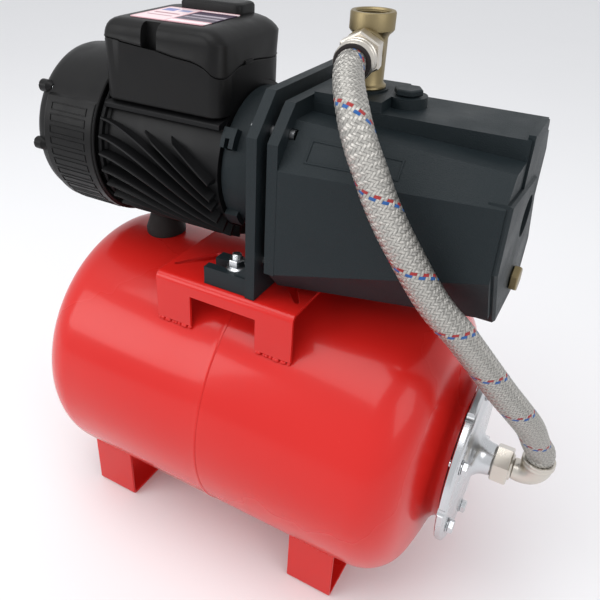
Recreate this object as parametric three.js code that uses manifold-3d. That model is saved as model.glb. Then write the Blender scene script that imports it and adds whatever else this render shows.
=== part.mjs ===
// Horizontal-tank booster set: shallow well jet pump, motor, 24 litre pressure tank and braided hose.
// Millimetres, +Z up, +X towards the tank flange and pump suction end, -Y the side with the hose.
import * as THREE from 'three';
import { mergeVertices } from 'three/addons/utils/BufferGeometryUtils.js';
import Module from 'manifold-3d';

const wasm = await Module();
wasm.setup();

// ---- driving dimensions ----
const gap = 0.3;                 // air left between pieces that touch
const tankR = 140;               // 280 mm tank, the usual size for 24 litres
const tankZ = 170;               // tank axis above the floor
const sheet = 1.5;               // tank wall
const motorEndTangent = -163;    // where the motor end head starts, from the girth seam
const motorEndDepth = 75;        // depth of that head
const flangeEndTangent = 148;
const flangeEndDepth = 60;
const neckR = 66;                // rolled neck that carries the flange
const flangeX = 213;             // back face of the counter flange
const flangeR = 86;
const boltCircleR = 72;
const platformTop = 323.7;
const platformHalfY = 95.6;
const platformX0 = -70;
const platformX1 = 71;
const plateT = 3;                // platform and foot steel
const footHalfY = 97;
const pumpZ = 415;               // motor and pump axis above the floor
const frameX0 = -146;            // motor frame, fan end
const frameX1 = -20.6;           // motor frame, pump end
const finTipR = 78;
const finRootR = 67;
const statorR = 58;
const rotorR = 32.4;
const shaftR = 7;
const coverR = 79;
const coverX0 = -222;            // back of the fan cover
const bodyX0 = 38.3;             // pump body flange face
const bodyX1 = 212;              // pump body end
const endPlateX = 216;
const drainZ = 361;              // drain plug height
const cavityR = 60;
const outletX = 77;              // outlet port and tee
const plugX = 112;               // priming plug
const teeTop = 549;
const branchZ = 525;
const hoseR = 12.5;              // 25 mm over the braid
const boxX0 = -142;              // terminal box
const boxX1 = -20;
const boxY0 = -62;
const boxY1 = 48;
const boxZ0 = 463;
const boxSplit = 494;
const boxTop = 531;
const elbowX = 276;              // hose elbow at the tank

// ---- helpers ----
const toSolid = (geometry) => {
  geometry.deleteAttribute('normal');
  geometry.deleteAttribute('uv');
  const g = mergeVertices(geometry, 1e-4);
  const p = g.attributes.position.array;
  const t = Uint32Array.from(g.index.array);
  let v = 0;
  for (let i = 0; i < t.length; i += 3) {
    const a = t[i] * 3, b = t[i + 1] * 3, c = t[i + 2] * 3;
    v += p[a] * (p[b + 1] * p[c + 2] - p[b + 2] * p[c + 1])
       - p[a + 1] * (p[b] * p[c + 2] - p[b + 2] * p[c])
       + p[a + 2] * (p[b] * p[c + 1] - p[b + 1] * p[c]);
  }
  if (v < 0) for (let i = 0; i < t.length; i += 3) [t[i + 1], t[i + 2]] = [t[i + 2], t[i + 1]];
  return new wasm.Manifold(new wasm.Mesh({ numProp: 3, vertProperties: Float32Array.from(p), triVerts: t }));
};
const join = (...s) => s.reduce((a, b) => a.add(b));
const cut = (s, ...c) => c.reduce((a, b) => a.subtract(b), s);

// Revolved solid: profile is [axial, radius] pairs; hollow rings close on themselves.
const turn = (profile, axis, [cx, cy, cz], segments = 18) => {
  const pts = profile.map(([a, r]) => new THREE.Vector2(Math.max(r, 0), a));
  if (profile[0][1] > 0) pts.push(pts[0].clone());
  const g = new THREE.LatheGeometry(pts, segments);
  if (axis === 'x') g.rotateZ(-Math.PI / 2);
  if (axis === 'z') g.rotateX(Math.PI / 2);
  g.translate(axis === 'x' ? 0 : cx, axis === 'y' ? 0 : cy, axis === 'z' ? 0 : cz);
  return toSolid(g);
};
const rod = (axis, centre, from, to, r, segments = 14) =>
  turn([[from, 0], [from, r], [to, r], [to, 0]], axis, centre, segments);
const ring = (axis, centre, from, to, r0, r1, segments = 18) =>
  turn([[from, r0], [from, r1], [to, r1], [to, r0]], axis, centre, segments);
const hex = (axis, centre, from, to, flats) => rod(axis, centre, from, to, flats / Math.sqrt(3), 6);
const nut = (axis, centre, from, to, flats, bore) =>
  cut(hex(axis, centre, from, to, flats), rod(axis, centre, from - 1, to + 1, bore, 16));
const block = (x0, x1, y0, y1, z0, z1) => {
  const g = new THREE.BoxGeometry(x1 - x0, y1 - y0, z1 - z0);
  g.translate((x0 + x1) / 2, (y0 + y1) / 2, (z0 + z1) / 2);
  return toSolid(g);
};
// Solid through matching outlines, one per station along X or Z.
const loft = (stations, axis = 'x') => {
  const n = stations[0].pts.length;
  const verts = [];
  for (const s of stations) for (const [a, b] of s.pts) verts.push(...(axis === 'x' ? [s.at, a, b] : [a, b, s.at]));
  const tris = [];
  for (let k = 0; k < stations.length - 1; k++) for (let i = 0; i < n; i++) {
    const j = (i + 1) % n, a = k * n + i, b = k * n + j, c = a + n, d = b + n;
    tris.push(a, b, d, a, d, c);
  }
  const last = (stations.length - 1) * n;
  const cap = (s, base, flip) => {
    const faces = THREE.ShapeUtils.triangulateShape(s.pts.map(([a, b]) => new THREE.Vector2(a, b)), []);
    for (const [a, b, c] of faces) tris.push(...(flip ? [base + a, base + c, base + b] : [base + a, base + b, base + c]));
  };
  const area = THREE.ShapeUtils.area(stations[0].pts.map(([a, b]) => new THREE.Vector2(a, b)));
  cap(stations[0], 0, true);
  cap(stations[stations.length - 1], last, false);
  if (area < 0) for (let i = 0; i < tris.length; i += 3) {
    if (i < (stations.length - 1) * n * 6) [tris[i + 1], tris[i + 2]] = [tris[i + 2], tris[i + 1]];
  }
  const g = new THREE.BufferGeometry();
  g.setAttribute('position', new THREE.Float32BufferAttribute(verts, 3));
  g.setIndex(tris);
  return toSolid(g);
};
const mirrored = (half) => [...half, ...half.slice().reverse().map(([a, b]) => [-a, b])];
const roundedRect = (x0, x1, y0, y1, radii, steps = 2) => {
  const corners = [[x1, y0, -90, radii[1], -1, 1], [x1, y1, 0, radii[2], -1, -1], [x0, y1, 90, radii[3], 1, -1], [x0, y0, 180, radii[0], 1, 1]];
  const pts = [];
  for (const [x, y, a0, r, sx, sy] of corners) for (let i = 0; i <= steps; i++) {
    const a = (a0 + 90 * i / steps) * Math.PI / 180;
    pts.push([x + sx * r + r * Math.cos(a), y + sy * r + r * Math.sin(a)]);
  }
  return pts;
};
const arc = (cx, cr, r, a0, a1, steps) => Array.from({ length: steps + 1 }, (_, i) => {
  const a = (a0 + (a1 - a0) * i / steps) * Math.PI / 180;
  return [cx + r * Math.cos(a), cr + r * Math.sin(a)];
});

const group = new THREE.Group();
const finishes = {
  red: ['#d8282a', 0.3, 0.1], black: ['#1b1c1e', 0.5, 0.1], casting: ['#30383d', 0.65, 0.3], steel: ['#c4c7c9', 0.3, 1],
  brass: ['#b39a5c', 0.35, 1], rubber: ['#1a1413', 0.85, 0], nickel: ['#c8c3b4', 0.3, 1], copper: ['#a5572d', 0.4, 1],
  lamination: ['#6d7073', 0.5, 0.9], label: ['#d9a9b6', 0.5, 0], plastic: ['#c9c4b8', 0.5, 0],
};
const place = (name, solid, finish) => {
  const m = solid.simplify(0.04).getMesh();
  const g = new THREE.BufferGeometry();
  const p = new Float32Array(m.numVert * 3);
  for (let i = 0; i < m.numVert; i++) for (let k = 0; k < 3; k++) p[i * 3 + k] = m.vertProperties[i * m.numProp + k];
  g.setAttribute('position', new THREE.BufferAttribute(p, 3));
  g.setIndex(Array.from(m.triVerts));
  const [color, roughness, metalness] = finishes[finish];
  const mesh = new THREE.Mesh(g, new THREE.MeshStandardMaterial({ color, roughness, metalness }));
  mesh.name = name;
  group.add(mesh);
};

// ---- tank: two pressed halves welded at the seam, rubber bag inside ----
const tankC = [0, 0, tankZ];
// Torispherical head, from the tangent line outwards: knuckle radius then dish radius.
const headProfile = (tangent, depth, knuckle, side, radius, steps = 4) => {
  const k = knuckle, R = radius;
  // dish radius from the depth, knuckle and tank radius
  let dish = R;
  for (let i = 0; i < 60; i++) {
    const c = Math.sqrt(Math.max((dish - k) ** 2 - (R - k) ** 2, 0));
    dish += (dish - c - depth) * 2;
  }
  const c = Math.sqrt((dish - k) ** 2 - (R - k) ** 2);
  const split = Math.atan2(R - k, c);
  const pts = [];
  for (let i = 0; i <= steps; i++) {
    const a = (Math.PI / 2 - split) * i / steps;
    pts.push([tangent + side * k * Math.sin(a), R - k + k * Math.cos(a)]);
  }
  for (let i = 1; i <= steps; i++) {
    const b = split * (1 - i / steps);
    pts.push([tangent + side * (dish * Math.cos(b) - c), dish * Math.sin(b)]);
  }
  return pts;
};
const motorHeadOut = headProfile(motorEndTangent, motorEndDepth, 45, -1, tankR);
const motorHeadIn = headProfile(motorEndTangent, motorEndDepth - sheet, 43, -1, tankR - sheet, 3);
const valveHoleR = 5;
const openHead = (pts, r) => { const p = pts.slice(0, -1); p.push([pts[pts.length - 1][0], r]); return p; };
place('tank_shell_motor_end', turn([
  [-gap, tankR - sheet], [-gap, tankR + 1], [-3.5, tankR + 1], [-5, tankR],
  ...openHead(motorHeadOut, valveHoleR), ...openHead(motorHeadIn, valveHoleR).reverse(),
], 'x', tankC, 24), 'red');

const flangeHeadOut = headProfile(flangeEndTangent, flangeEndDepth, 44, 1, tankR).filter(([, r]) => r > neckR + 12);
const flangeHeadIn = headProfile(flangeEndTangent, flangeEndDepth - sheet, 42, 1, tankR - sheet, 3).filter(([, r]) => r > neckR + 4);
place('tank_shell_flange_end', turn([
  [gap, tankR - sheet], [gap, tankR], ...flangeHeadOut,
  [201, neckR + 7], [204, neckR + 5], [207, neckR + 1], [flangeX - gap - 2.4, neckR + 1], [flangeX - gap - 2.4, neckR - sheet],
  [203, neckR - sheet], [199, neckR], ...flangeHeadIn.reverse(),
], 'x', tankC, 24), 'red');

// The bag hangs inside the shell; its lip is clamped between neck and flange as the gasket.
place('bladder', turn([
  [-190, 0], [-184, 60], [-160, 96], [-120, 112], [100, 112], [160, 96], [190, neckR - 8], [flangeX - 2.4, neckR - 4], [flangeX - 2.4, neckR + 2], [flangeX - gap, neckR + 2],
  [flangeX - gap, neckR - 6.5], [190, neckR - 11], [158, 93], [99, 109], [-119, 109], [-158, 93.5], [-181.5, 58.5], [-187, 0],
], 'x', tankC, 14), 'rubber');

const headTip = motorEndTangent - motorEndDepth;
place('air_valve', join(
  rod('x', tankC, headTip - 16, headTip + 9, valveHoleR - gap, 16),
  rod('x', tankC, headTip - 4, headTip - gap, 11, 16),
), 'brass');
place('air_valve_cap', cut(
  rod('x', tankC, headTip - 26, headTip - 4 - gap, 8.5, 20),
  rod('x', tankC, headTip - 16.4, headTip, valveHoleR + 0.1, 16),
), 'black');

// ---- counter flange with hub, six bolts, nut and elbow ----
const flangeHoles = [];
for (let i = 0; i < 6; i++) {
  const a = (i * 60 - 90) * Math.PI / 180;
  flangeHoles.push([boltCircleR * Math.cos(a), tankZ + boltCircleR * Math.sin(a)]);
}
place('tank_flange', cut(
  turn([
    [flangeX, 12], [flangeX, flangeR], [flangeX + 6, flangeR], [flangeX + 7.5, flangeR - 1.5], [flangeX + 7.5, 66], [flangeX + 9, 64.5],
    [flangeX + 9, 28], [flangeX + 13, 19], [flangeX + 18, 15.5], [flangeX + 27, 15], [flangeX + 27, 12],
  ], 'x', tankC, 28),
  ...flangeHoles.map(([y, z]) => rod('x', [0, y, z], flangeX - 2, flangeX + 12, 3.7, 8)),
), 'steel');
flangeHoles.forEach(([y, z], i) => place(`flange_bolt_${i + 1}`, join(
  hex('x', [0, y, z], flangeX + 7.5 + gap, flangeX + 13.5, 11),
  rod('x', [0, y, z], flangeX - 2.2, flangeX + 8, 3.2, 8),
), 'steel'));
place('tank_hose_nut', nut('x', tankC, flangeX + 27 + gap, flangeX + 44, 32, 9.5), 'nickel');
const elbowBore = 7;
place('hose_elbow', cut(
  join(
    rod('x', tankC, flangeX + 44 + gap, elbowX, 11, 16),
    rod('x', tankC, flangeX + 20, flangeX + 45, 9.1, 16),
    turn([[tankZ - 11, 0], [tankZ - 10, 9], [tankZ - 4, 13.5], [tankZ + 10, 15.5], [tankZ + 21, 15.8], [tankZ + 21, 0]], 'z', [elbowX, 0, 0], 16),
  ),
  rod('x', tankC, flangeX + 18, elbowX, elbowBore, 12),
  rod('z', [elbowX, 0, 0], tankZ - elbowBore, tankZ + 30, elbowBore, 12),
), 'nickel');

// ---- braided hose: centre line from the tee branch to the elbow ----
const hoseRoute = new THREE.CatmullRomCurve3([
  [77, -47, 525], [77.2, -52.5, 524.8], [87.7, -63.0, 511.9], [96.9, -79.0, 503.1], [104.5, -90.0, 495.4], [115.4, -101.0, 482.3],
  [126.1, -105.0, 466.0], [136.0, -106.0, 447.8], [147.1, -106.0, 429.5], [159.3, -104.0, 410.3], [175.3, -99.0, 384.7], [187.5, -94.0, 367.8],
  [199.1, -86.0, 352.0], [211.2, -76.0, 332.1], [224.0, -64.0, 309.5], [237.5, -51.0, 285.6], [251.4, -36.0, 261.0], [261.5, -23.0, 240.5],
  [270.3, -8.0, 212.7], [elbowX - 0.2, -0.3, tankZ + 29], [elbowX, 0, tankZ + 22.4],
].map(([x, y, z]) => new THREE.Vector3(x, y, z)), false, 'centripetal');
const hoseSection = new THREE.Shape(Array.from({ length: 10 }, (_, i) => {
  const a = i * Math.PI / 5;
  return new THREE.Vector2(hoseR * Math.cos(a), hoseR * Math.sin(a));
}));
place('braided_hose', toSolid(new THREE.ExtrudeGeometry(hoseSection, { steps: 26, bevelEnabled: false, extrudePath: hoseRoute })), 'steel');

// ---- outlet tee with branch to the hose ----
place('outlet_tee', cut(
  join(
    turn([
      [482, 0], [482, 11.5], [491.5, 11.5], [491.5, 15.5], [494, 15.5], [494, 13], [532, 13], [535, 17.3], [teeTop - 1.5, 17.3], [teeTop, 16.3], [teeTop, 0],
    ], 'z', [outletX, 0, 0], 16),
    turn([[0, 0], [0, 12.5], [-17, 12.5], [-17, 15.5], [-24, 15.5], [-24, 0]].map(([a, r]) => [a, r]), 'y', [outletX, 0, branchZ], 16),
  ),
  rod('z', [outletX, 0, 0], 480, teeTop - 14, 8.5, 16),
  rod('z', [outletX, 0, 0], teeTop - 14, teeTop + 2, 13, 16),
  rod('y', [outletX, 0, branchZ], -30, 0, 8.5, 16),
), 'brass');
place('hose_nut', nut('y', [outletX, 0, branchZ], -37, -24 - gap, 30, 9.3), 'nickel');
place('hose_ferrule', cut(
  turn([[-25, 7], [-25, 8.9], [-37 - gap, 8.9], [-37 - gap, 14.8], [-44, 14.8], [-46, 14.2], [-46, 7]], 'y', [outletX, 0, branchZ], 16),
), 'nickel');

// ---- welded platform on the tank and its two foot brackets ----
const bend = 7;
const sheetOutline = (half, top, bottom, t, r) => {
  const outer = [[half, bottom], ...arc(half - r, top - r, r, 0, 90, 4)];
  const inner = [[half - t, bottom], ...arc(half - r, top - r, r - t, 0, 90, 4)];
  return [...outer, ...outer.slice().reverse().map(([y, z]) => [-y, z]), ...inner.map(([y, z]) => [-y, z]), ...inner.slice().reverse()];
};
const legBottom = tankZ + Math.sqrt((tankR + 1) ** 2 - (platformHalfY - plateT) ** 2) + gap;
const windowTop = 308.5;
const slot = (xa, ya, xb, yb, w) => {
  const dx = xb - xa, dy = yb - ya, l = Math.hypot(dx, dy), nx = -dy / l * w / 2, ny = dx / l * w / 2;
  const p = [[xa + nx, ya + ny], [xa - nx, ya - ny], [xb - nx, yb - ny], [xb + nx, yb + ny]];
  return loft([{ at: platformTop - 8, pts: p }, { at: platformTop + 4, pts: p }], 'z');
};
const footBoltX = 4.5;
const footBoltY = 75.4;
const platformPts = sheetOutline(platformHalfY, platformTop, legBottom, plateT, bend);
place('pump_platform', cut(
  loft([{ at: platformX0, pts: platformPts }, { at: platformX1, pts: platformPts }]),
  block(-33, 35, -110, 110, legBottom - 5, windowTop),
  slot(-63.4, -73.8, -35.7, -38.4, 6.5), slot(63.4, -73.8, 35.7, -38.4, 6.5),
  slot(-63.4, 73.8, -35.7, 38.4, 6.5), slot(63.4, 73.8, 35.7, 38.4, 6.5),
  rod('z', [footBoltX, -footBoltY, 0], 300, 340, 4.5, 12), rod('z', [footBoltX, footBoltY, 0], 300, 340, 4.5, 12),
), 'red');

const footTop = tankZ - Math.sqrt((tankR + 1) ** 2 - (footHalfY - plateT) ** 2) - gap;
const footOutline = (() => {
  const r = 5, t = plateT, h = footHalfY;
  const outer = [[h, footTop], ...arc(h - r, r, r, 0, -90, 3)];
  const inner = [[h - t, footTop], ...arc(h - r, r, r - t, 0, -90, 3)];
  return [...outer, ...outer.slice().reverse().map(([y, z]) => [-y, z]), ...inner.map(([y, z]) => [-y, z]), ...inner.slice().reverse()];
})();
for (const [name, x0, x1] of [['foot_bracket_motor_end', -175, -124], ['foot_bracket_flange_end', 81, 130]]) {
  place(name, loft([{ at: x0, pts: footOutline }, { at: x1, pts: footOutline }]), 'red');
}

// Rubber block between the tank and the motor.
place('motor_rubber_support', turn([
  [tankZ + tankR + 0.6, 0], [tankZ + tankR + 0.6, 20.5], [tankZ + tankR + 6, 20.5], [336.6, 13.5], [336.6, 0],
], 'z', [-131, 0, 0], 20).subtract(rod('x', tankC, -170, -100, tankR + 0.3, 96)), 'rubber');

// ---- motor ----
const motorC = [0, 0, pumpZ];
// One cooling fin, running level at the fan end and curving down towards the pump.
const sweepDown = (t) => 46 * t ** 1.5;
const fin = (startAngle, t0, side) => {
  const stations = [];
  for (let i = 0; i <= 3; i++) {
    const t = t0 + (1 - t0) * i / 3;
    const angle = startAngle - sweepDown(t) + sweepDown(t0);
    if (angle < -82) break;
    const a = angle * Math.PI / 180;
    const y = -side * Math.cos(a), z = Math.sin(a), ny = side * Math.sin(a), nz = Math.cos(a);
    const at = frameX0 + 4 + (frameX1 - frameX0 - 8) * t;
    stations.push({ at, pts: [[finRootR - 3, -2], [finTipR, -1.3], [finTipR, 1.3], [finRootR - 3, 2]].map(([r, w]) => [r * y + w * ny, pumpZ + r * z + w * nz]) });
  }
  return stations.length > 1 ? loft(stations) : null;
};
const fins = [];
for (const side of [1, -1]) {
  for (let i = 0; i < 9; i++) fins.push(fin(24 - i * 12, 0, side));
  fins.push(fin(22, 0.36, side), fin(22, 0.6, side));
}
const frameCore = ring('x', motorC, frameX0, frameX1, statorR + gap, finRootR, 28);
place('motor_frame', cut(
  join(frameCore, ring('x', motorC, frameX0, frameX0 + 3.7, statorR + 2, 74, 28), ...fins.filter(Boolean),
    block(frameX0 + 3, frameX1 - 1, -58, 58, pumpZ + 30, boxZ0 - gap - 3), block(frameX0 + 3, frameX1 - 1, -46, 46, boxZ0 - 8, boxZ0 - gap)),
  rod('x', motorC, frameX0 - 1, frameX1 + 1, statorR + gap, 28),
  block(-100, -60, -12, 12, pumpZ + 50, boxZ0 + 1),
), 'black');
const windingBars = [0, 60, 120, 180, 240, 300].map((d) => {
  const a = (d + 30) * Math.PI / 180;
  return [41 * Math.cos(a), pumpZ + 41 * Math.sin(a)];
});
const stackX0 = -116;
const stackX1 = -52;
place('stator_core', cut(
  ring('x', motorC, stackX0, stackX1, 33.2, statorR, 28),
  ...windingBars.map(([y, z]) => rod('x', [0, y, z], stackX0 - 1, stackX1 + 1, 4.9, 6)),
), 'lamination');
place('stator_winding', join(
  ring('x', motorC, stackX0 - 15, stackX0 - gap, 35, 51, 18), ring('x', motorC, stackX1 + gap, stackX1 + 15, 35, 51, 18),
  ...windingBars.map(([y, z]) => rod('x', [0, y, z], stackX0 - 5, stackX1 + 5, 4, 6)),
), 'copper');
place('rotor_core', ring('x', motorC, stackX0, stackX1, shaftR + gap, rotorR, 28), 'lamination');
place('rotor_shaft', turn([[-200, 0], [-200, 5], [-172, 5], [-172, shaftR], [62, shaftR], [62, 0]], 'x', motorC, 16), 'steel');
const rearShieldX = frameX0 - gap;
place('rear_end_shield', ring('x', motorC, rearShieldX - 9, rearShieldX - 3, shaftR + 3, 72, 20)
  .add(ring('x', motorC, rearShieldX - 3, rearShieldX + 11, 17.3, 23, 20)), 'black');
place('bearing_rear', ring('x', motorC, rearShieldX - 2.6, rearShieldX + 8.4, shaftR + gap, 17, 20), 'steel');
place('bearing_front', ring('x', motorC, -18, -7, shaftR + gap, 17, 20), 'steel');
const blades = [];
for (let i = 0; i < 6; i++) {
  const a = i * Math.PI / 3;
  const g = new THREE.BoxGeometry(22, 48, 2.4);
  g.translate(-184, 40, 0);
  g.rotateX(a);
  g.translate(0, 0, pumpZ);
  blades.push(toSolid(g));
}
place('cooling_fan', join(ring('x', motorC, -198, -174, 5 + gap, 18, 16), ring('x', motorC, -175.5, -173, 17, 64, 16), ...blades), 'plastic');

// Fan cover: a cup with a bevelled back, vents and three screw ears.
const earAngles = [142, 183, 270];
const ears = earAngles.map((d) => {
  const a = d * Math.PI / 180;
  return [coverR * 0.965 * Math.cos(a), pumpZ + coverR * 0.965 * Math.sin(a)];
});
const vents = [];
for (let i = 0; i < 8; i++) {
  const a = i * Math.PI / 4;
  const g = new THREE.BoxGeometry(12, 34, 6.5);
  g.translate(coverX0, 42, 0);
  g.rotateX(a);
  g.translate(0, 0, pumpZ);
  vents.push(toSolid(g));
}
place('fan_cover', cut(
  join(
    turn([
      [coverX0, 0], [coverX0, 71.5], [coverX0 + 3.5, 75.5], [coverX0 + 12, 77.6], [-147, coverR], [-147, coverR - 2.4], [coverX0 + 12, 75.2], [coverX0 + 5, 73.4], [coverX0 + 2.4, 70], [coverX0 + 2.4, 0],
    ], 'x', motorC, 28),
    ...ears.map(([y, z]) => rod('x', [0, y, z], coverX0 + 1, coverX0 + 14, 6, 10)),
  ),
  ...vents,
  ...ears.map(([y, z]) => rod('x', [0, y, z], coverX0 - 1, coverX0 + 16, 2.7, 8)),
  ...ears.map(([y, z]) => rod('x', [0, y, z], coverX0 - 5, coverX0 + 2.2, 4.8, 10)),
), 'black');
ears.forEach(([y, z], i) => place(`fan_cover_screw_${i + 1}`, join(
  rod('x', [0, y, z], coverX0 - 1.5, coverX0 + 2 - gap, 4, 10), rod('x', [0, y, z], coverX0 - 1.5, coverX0 + 14, 2.2, 8),
), 'steel'));

// ---- terminal box ----
const boxOuter = roundedRect(boxX0, boxX1, boxY0, boxY1, [10, 12, 26, 16]);
const boxInner = roundedRect(boxX0 + 3, boxX1 - 3, boxY0 + 3, boxY1 - 3, [7, 9, 23, 13]);
const recess = block(-98, -82, boxY0 - 2, boxY0 + 9, 499, boxTop + 2);
const recessWall = block(-100.5, -79.5, boxY0, boxY0 + 11.5, boxSplit + gap, boxTop - 8);
const saddle = (r) => rod('x', motorC, boxX0 - 5, boxX1 + 5, r, 28);
place('terminal_box_base', cut(
  loft([{ at: boxZ0, pts: boxOuter }, { at: boxSplit, pts: boxOuter }], 'z'),
  saddle(finRootR + gap),
  cut(loft([{ at: boxZ0 + 3, pts: boxInner }, { at: boxSplit + 1, pts: boxInner }], 'z'), saddle(finRootR + 3)),
  block(-98, -62, -10, 10, boxZ0 - 1, boxSplit - 1),
  rod('y', [-60, 0, 480], boxY1 - 6, boxY1 + 4, 8.3, 16),
).add(cut(block(-95.5, -84.5, boxY0 + 2, boxY0 + 11, boxZ0 + 1, boxSplit), rod('z', [-90, boxY0 + 5, 0], boxSplit - 20, boxSplit + 5, 2.3, 8))), 'black');
const lidTop = roundedRect(boxX0 + 16, boxX1 - 16, boxY0 + 13, boxY1 - 10, [8, 10, 18, 12]);
const lidTopIn = roundedRect(boxX0 + 18, boxX1 - 18, boxY0 + 15, boxY1 - 12, [6, 8, 16, 10]);
place('terminal_box_lid', cut(
  join(
    cut(
      loft([{ at: boxSplit + gap, pts: boxOuter }, { at: 514, pts: boxOuter }, { at: boxTop - 4, pts: roundedRect(boxX0 + 7, boxX1 - 7, boxY0 + 5, boxY1 - 5, [10, 12, 24, 14]) }, { at: boxTop, pts: lidTop }], 'z'),
      loft([{ at: boxSplit - 1, pts: boxInner }, { at: 513, pts: boxInner }, { at: boxTop - 6, pts: roundedRect(boxX0 + 9, boxX1 - 9, boxY0 + 7, boxY1 - 7, [8, 10, 22, 12]) }, { at: boxTop - 3, pts: lidTopIn }], 'z'),
    ),
    recessWall,
    block(-112, -48, 12, boxY1 - 8, boxTop - 5, boxTop + 9),
  ),
  block(-108, -52, 15, boxY1 - 11, boxTop - 8, boxTop + 6),
  recess,
  rod('z', [-90, boxY0 + 5, 0], boxSplit - 1, 505, 2.6, 8),
), 'black');
place('box_lid_screw', join(
  rod('z', [-90, boxY0 + 5, 0], 499 + gap, 502.5, 3.3, 10), rod('z', [-90, boxY0 + 5, 0], 478, 500, 2, 8),
), 'steel');
place('run_capacitor', rod('x', [0, 8, 503], -118, -48, 13.5, 16), 'plastic');
place('cable_gland', join(
  ring('y', [-60, 0, 480], boxY1 - 6, boxY1 + 1, 4.5, 8, 16), nut('y', [-60, 0, 480], boxY1 + gap, boxY1 + 12, 20, 4.5),
), 'black');
place('rating_label', block(-121, -41, boxY0 + 15, 11, boxTop + gap, boxTop + 0.8), 'label');

// ---- pump bracket: bell to the motor, upright flange and two slotted feet ----
const bracketPts = [[91, 324], [91, 466], [63, 496], [-63, 496], [-91, 466], [-91, 324], [-52, 324], [-46, 336], [46, 336], [52, 324]];
const bracketPlate = loft([{ at: 22, pts: bracketPts }, { at: 31, pts: bracketPts }]);
const bodyBolts = [[67, 466], [-67, 466], [73, 356], [-73, 356]];
const foot = (s) => cut(
  block(-21, 31, s < 0 ? -89 : 58, s < 0 ? -58 : 89, platformTop + gap, 341),
  block(-30, 9, s * footBoltY - 5.2, s * footBoltY + 5.2, 320, 345),
);
place('pump_bracket', cut(
  join(
    turn([
      [-20, 58.3], [-20, 63], [-7, 63], [0, 62], [14, 60], [22.5, 60], [22.5, 52], [-4, 52], [-4, 24], [-2, 24], [-2, 17.3],
      [-18.4, 17.3], [-18.4, 24], [-12, 24], [-12, 58.3],
    ], 'x', motorC, 28),
    bracketPlate, foot(-1), foot(1),
    block(-19, -8, -66, -50, pumpZ + 22, pumpZ + 38), block(-19, -8, 50, 66, pumpZ + 22, pumpZ + 38),
  ),
  rod('x', motorC, 20, 33, 14.3, 14),
  ...bodyBolts.map(([y, z]) => rod('x', [0, y, z], 18, 34, 4.5, 8)),
), 'casting');

// ---- pump body ----
const bodyStart = mirrored([[72, 334], [88, 352], [88, 443], [60, 476], [33.5, 476], [33.5, 483]]);
const bodyEnd = [[33, 345], [62, 393], [62, 449], [49, 468], [30, 468], [30, 483], [-33.5, 483], [-33.5, 468], [-62, 468], [-79, 449], [-79, 393], [-46, 345]];
const flangePts = mirrored([[62, 336], [88, 352], [88, 463], [62, 489]]);
// The casting is hollow, with walls of about 9 mm.
const cavityStart = mirrored([[58, 350], [76, 362], [76, 438], [54, 464]]);
const cavityEnd = [[26, 366], [51, 398], [51, 442], [40, 456], [-53, 456], [-68, 442], [-68, 398], [-38, 366]];
const lowerEnd = [[48, 336], [56, 372], [12, 444], [-78, 452], [-78, 400], [-34, 336]];
place('pump_body', cut(
  join(
    loft([{ at: bodyX0 + 5, pts: bodyStart }, { at: bodyX1, pts: bodyEnd }]),
    loft([{ at: bodyX0, pts: flangePts }, { at: bodyX0 + 9, pts: flangePts }]),
    block(bodyX1 - 3, bodyX1 + 2, -31, 24, 438, 486),
    loft([{ at: bodyX1 - 12, pts: lowerEnd }, { at: endPlateX - 2, pts: lowerEnd }, { at: endPlateX, pts: lowerEnd.map(([y, z]) => [y * 0.97, 400 + (z - 400) * 0.97]) }]),
    block(48, 103, -33.5, 33.5, 475, 491), rod('z', [plugX, 0, 0], 475, 491, 15, 18),
  ),
  turn([[bodyX0 - 1, 0], [bodyX0 - 1, cavityR], [70, cavityR], [70, 0]], 'x', motorC, 20),
  loft([{ at: 60, pts: cavityStart }, { at: 203, pts: cavityEnd }]),
  rod('x', motorC, 200, endPlateX + 6, 16.6, 16),
  rod('z', [outletX, 0, 0], 460, 495, 12, 16),
  rod('z', [plugX, 0, 0], 445, 495, 6.6, 12),
  rod('x', [0, 0, drainZ], 180, endPlateX + 2, 6.6, 12),
  ...bodyBolts.map(([y, z]) => rod('x', [0, y, z], bodyX0 - 1, bodyX0 + 14, 4.5, 8)),
), 'casting');
for (const [name, s] of [['front', -1], ['rear', 1]]) {
  place(`foot_bolt_${name}`, join(
    hex('z', [footBoltX, s * footBoltY, 0], platformTop - plateT - 6, platformTop - plateT - gap, 13),
    rod('z', [footBoltX, s * footBoltY, 0], platformTop - plateT - 1, 355, 4, 10),
  ), 'steel');
  place(`foot_nut_${name}`, join(
    nut('z', [footBoltX, s * footBoltY, 0], 342, 350, 13, 4.6), ring('z', [footBoltX, s * footBoltY, 0], 341 + gap, 343, 4.6, 9.5, 16),
  ), 'steel');
}
bodyBolts.forEach(([y, z], i) => place(`body_bolt_${i + 1}`, join(
  hex('x', [0, y, z], 15, 22 - gap, 13), rod('x', [0, y, z], 15, 51, 4, 8),
), 'steel'));
place('priming_plug', join(hex('z', [plugX, 0, 0], 491 + gap, 496.5, 20), rod('z', [plugX, 0, 0], 478, 492, 6.2, 12)), 'casting');
place('drain_plug', join(hex('x', [0, 0, drainZ], endPlateX + gap, endPlateX + 6.5, 19), rod('x', [0, 0, drainZ], 202, endPlateX + 1, 6.2, 12)), 'brass');

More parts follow.
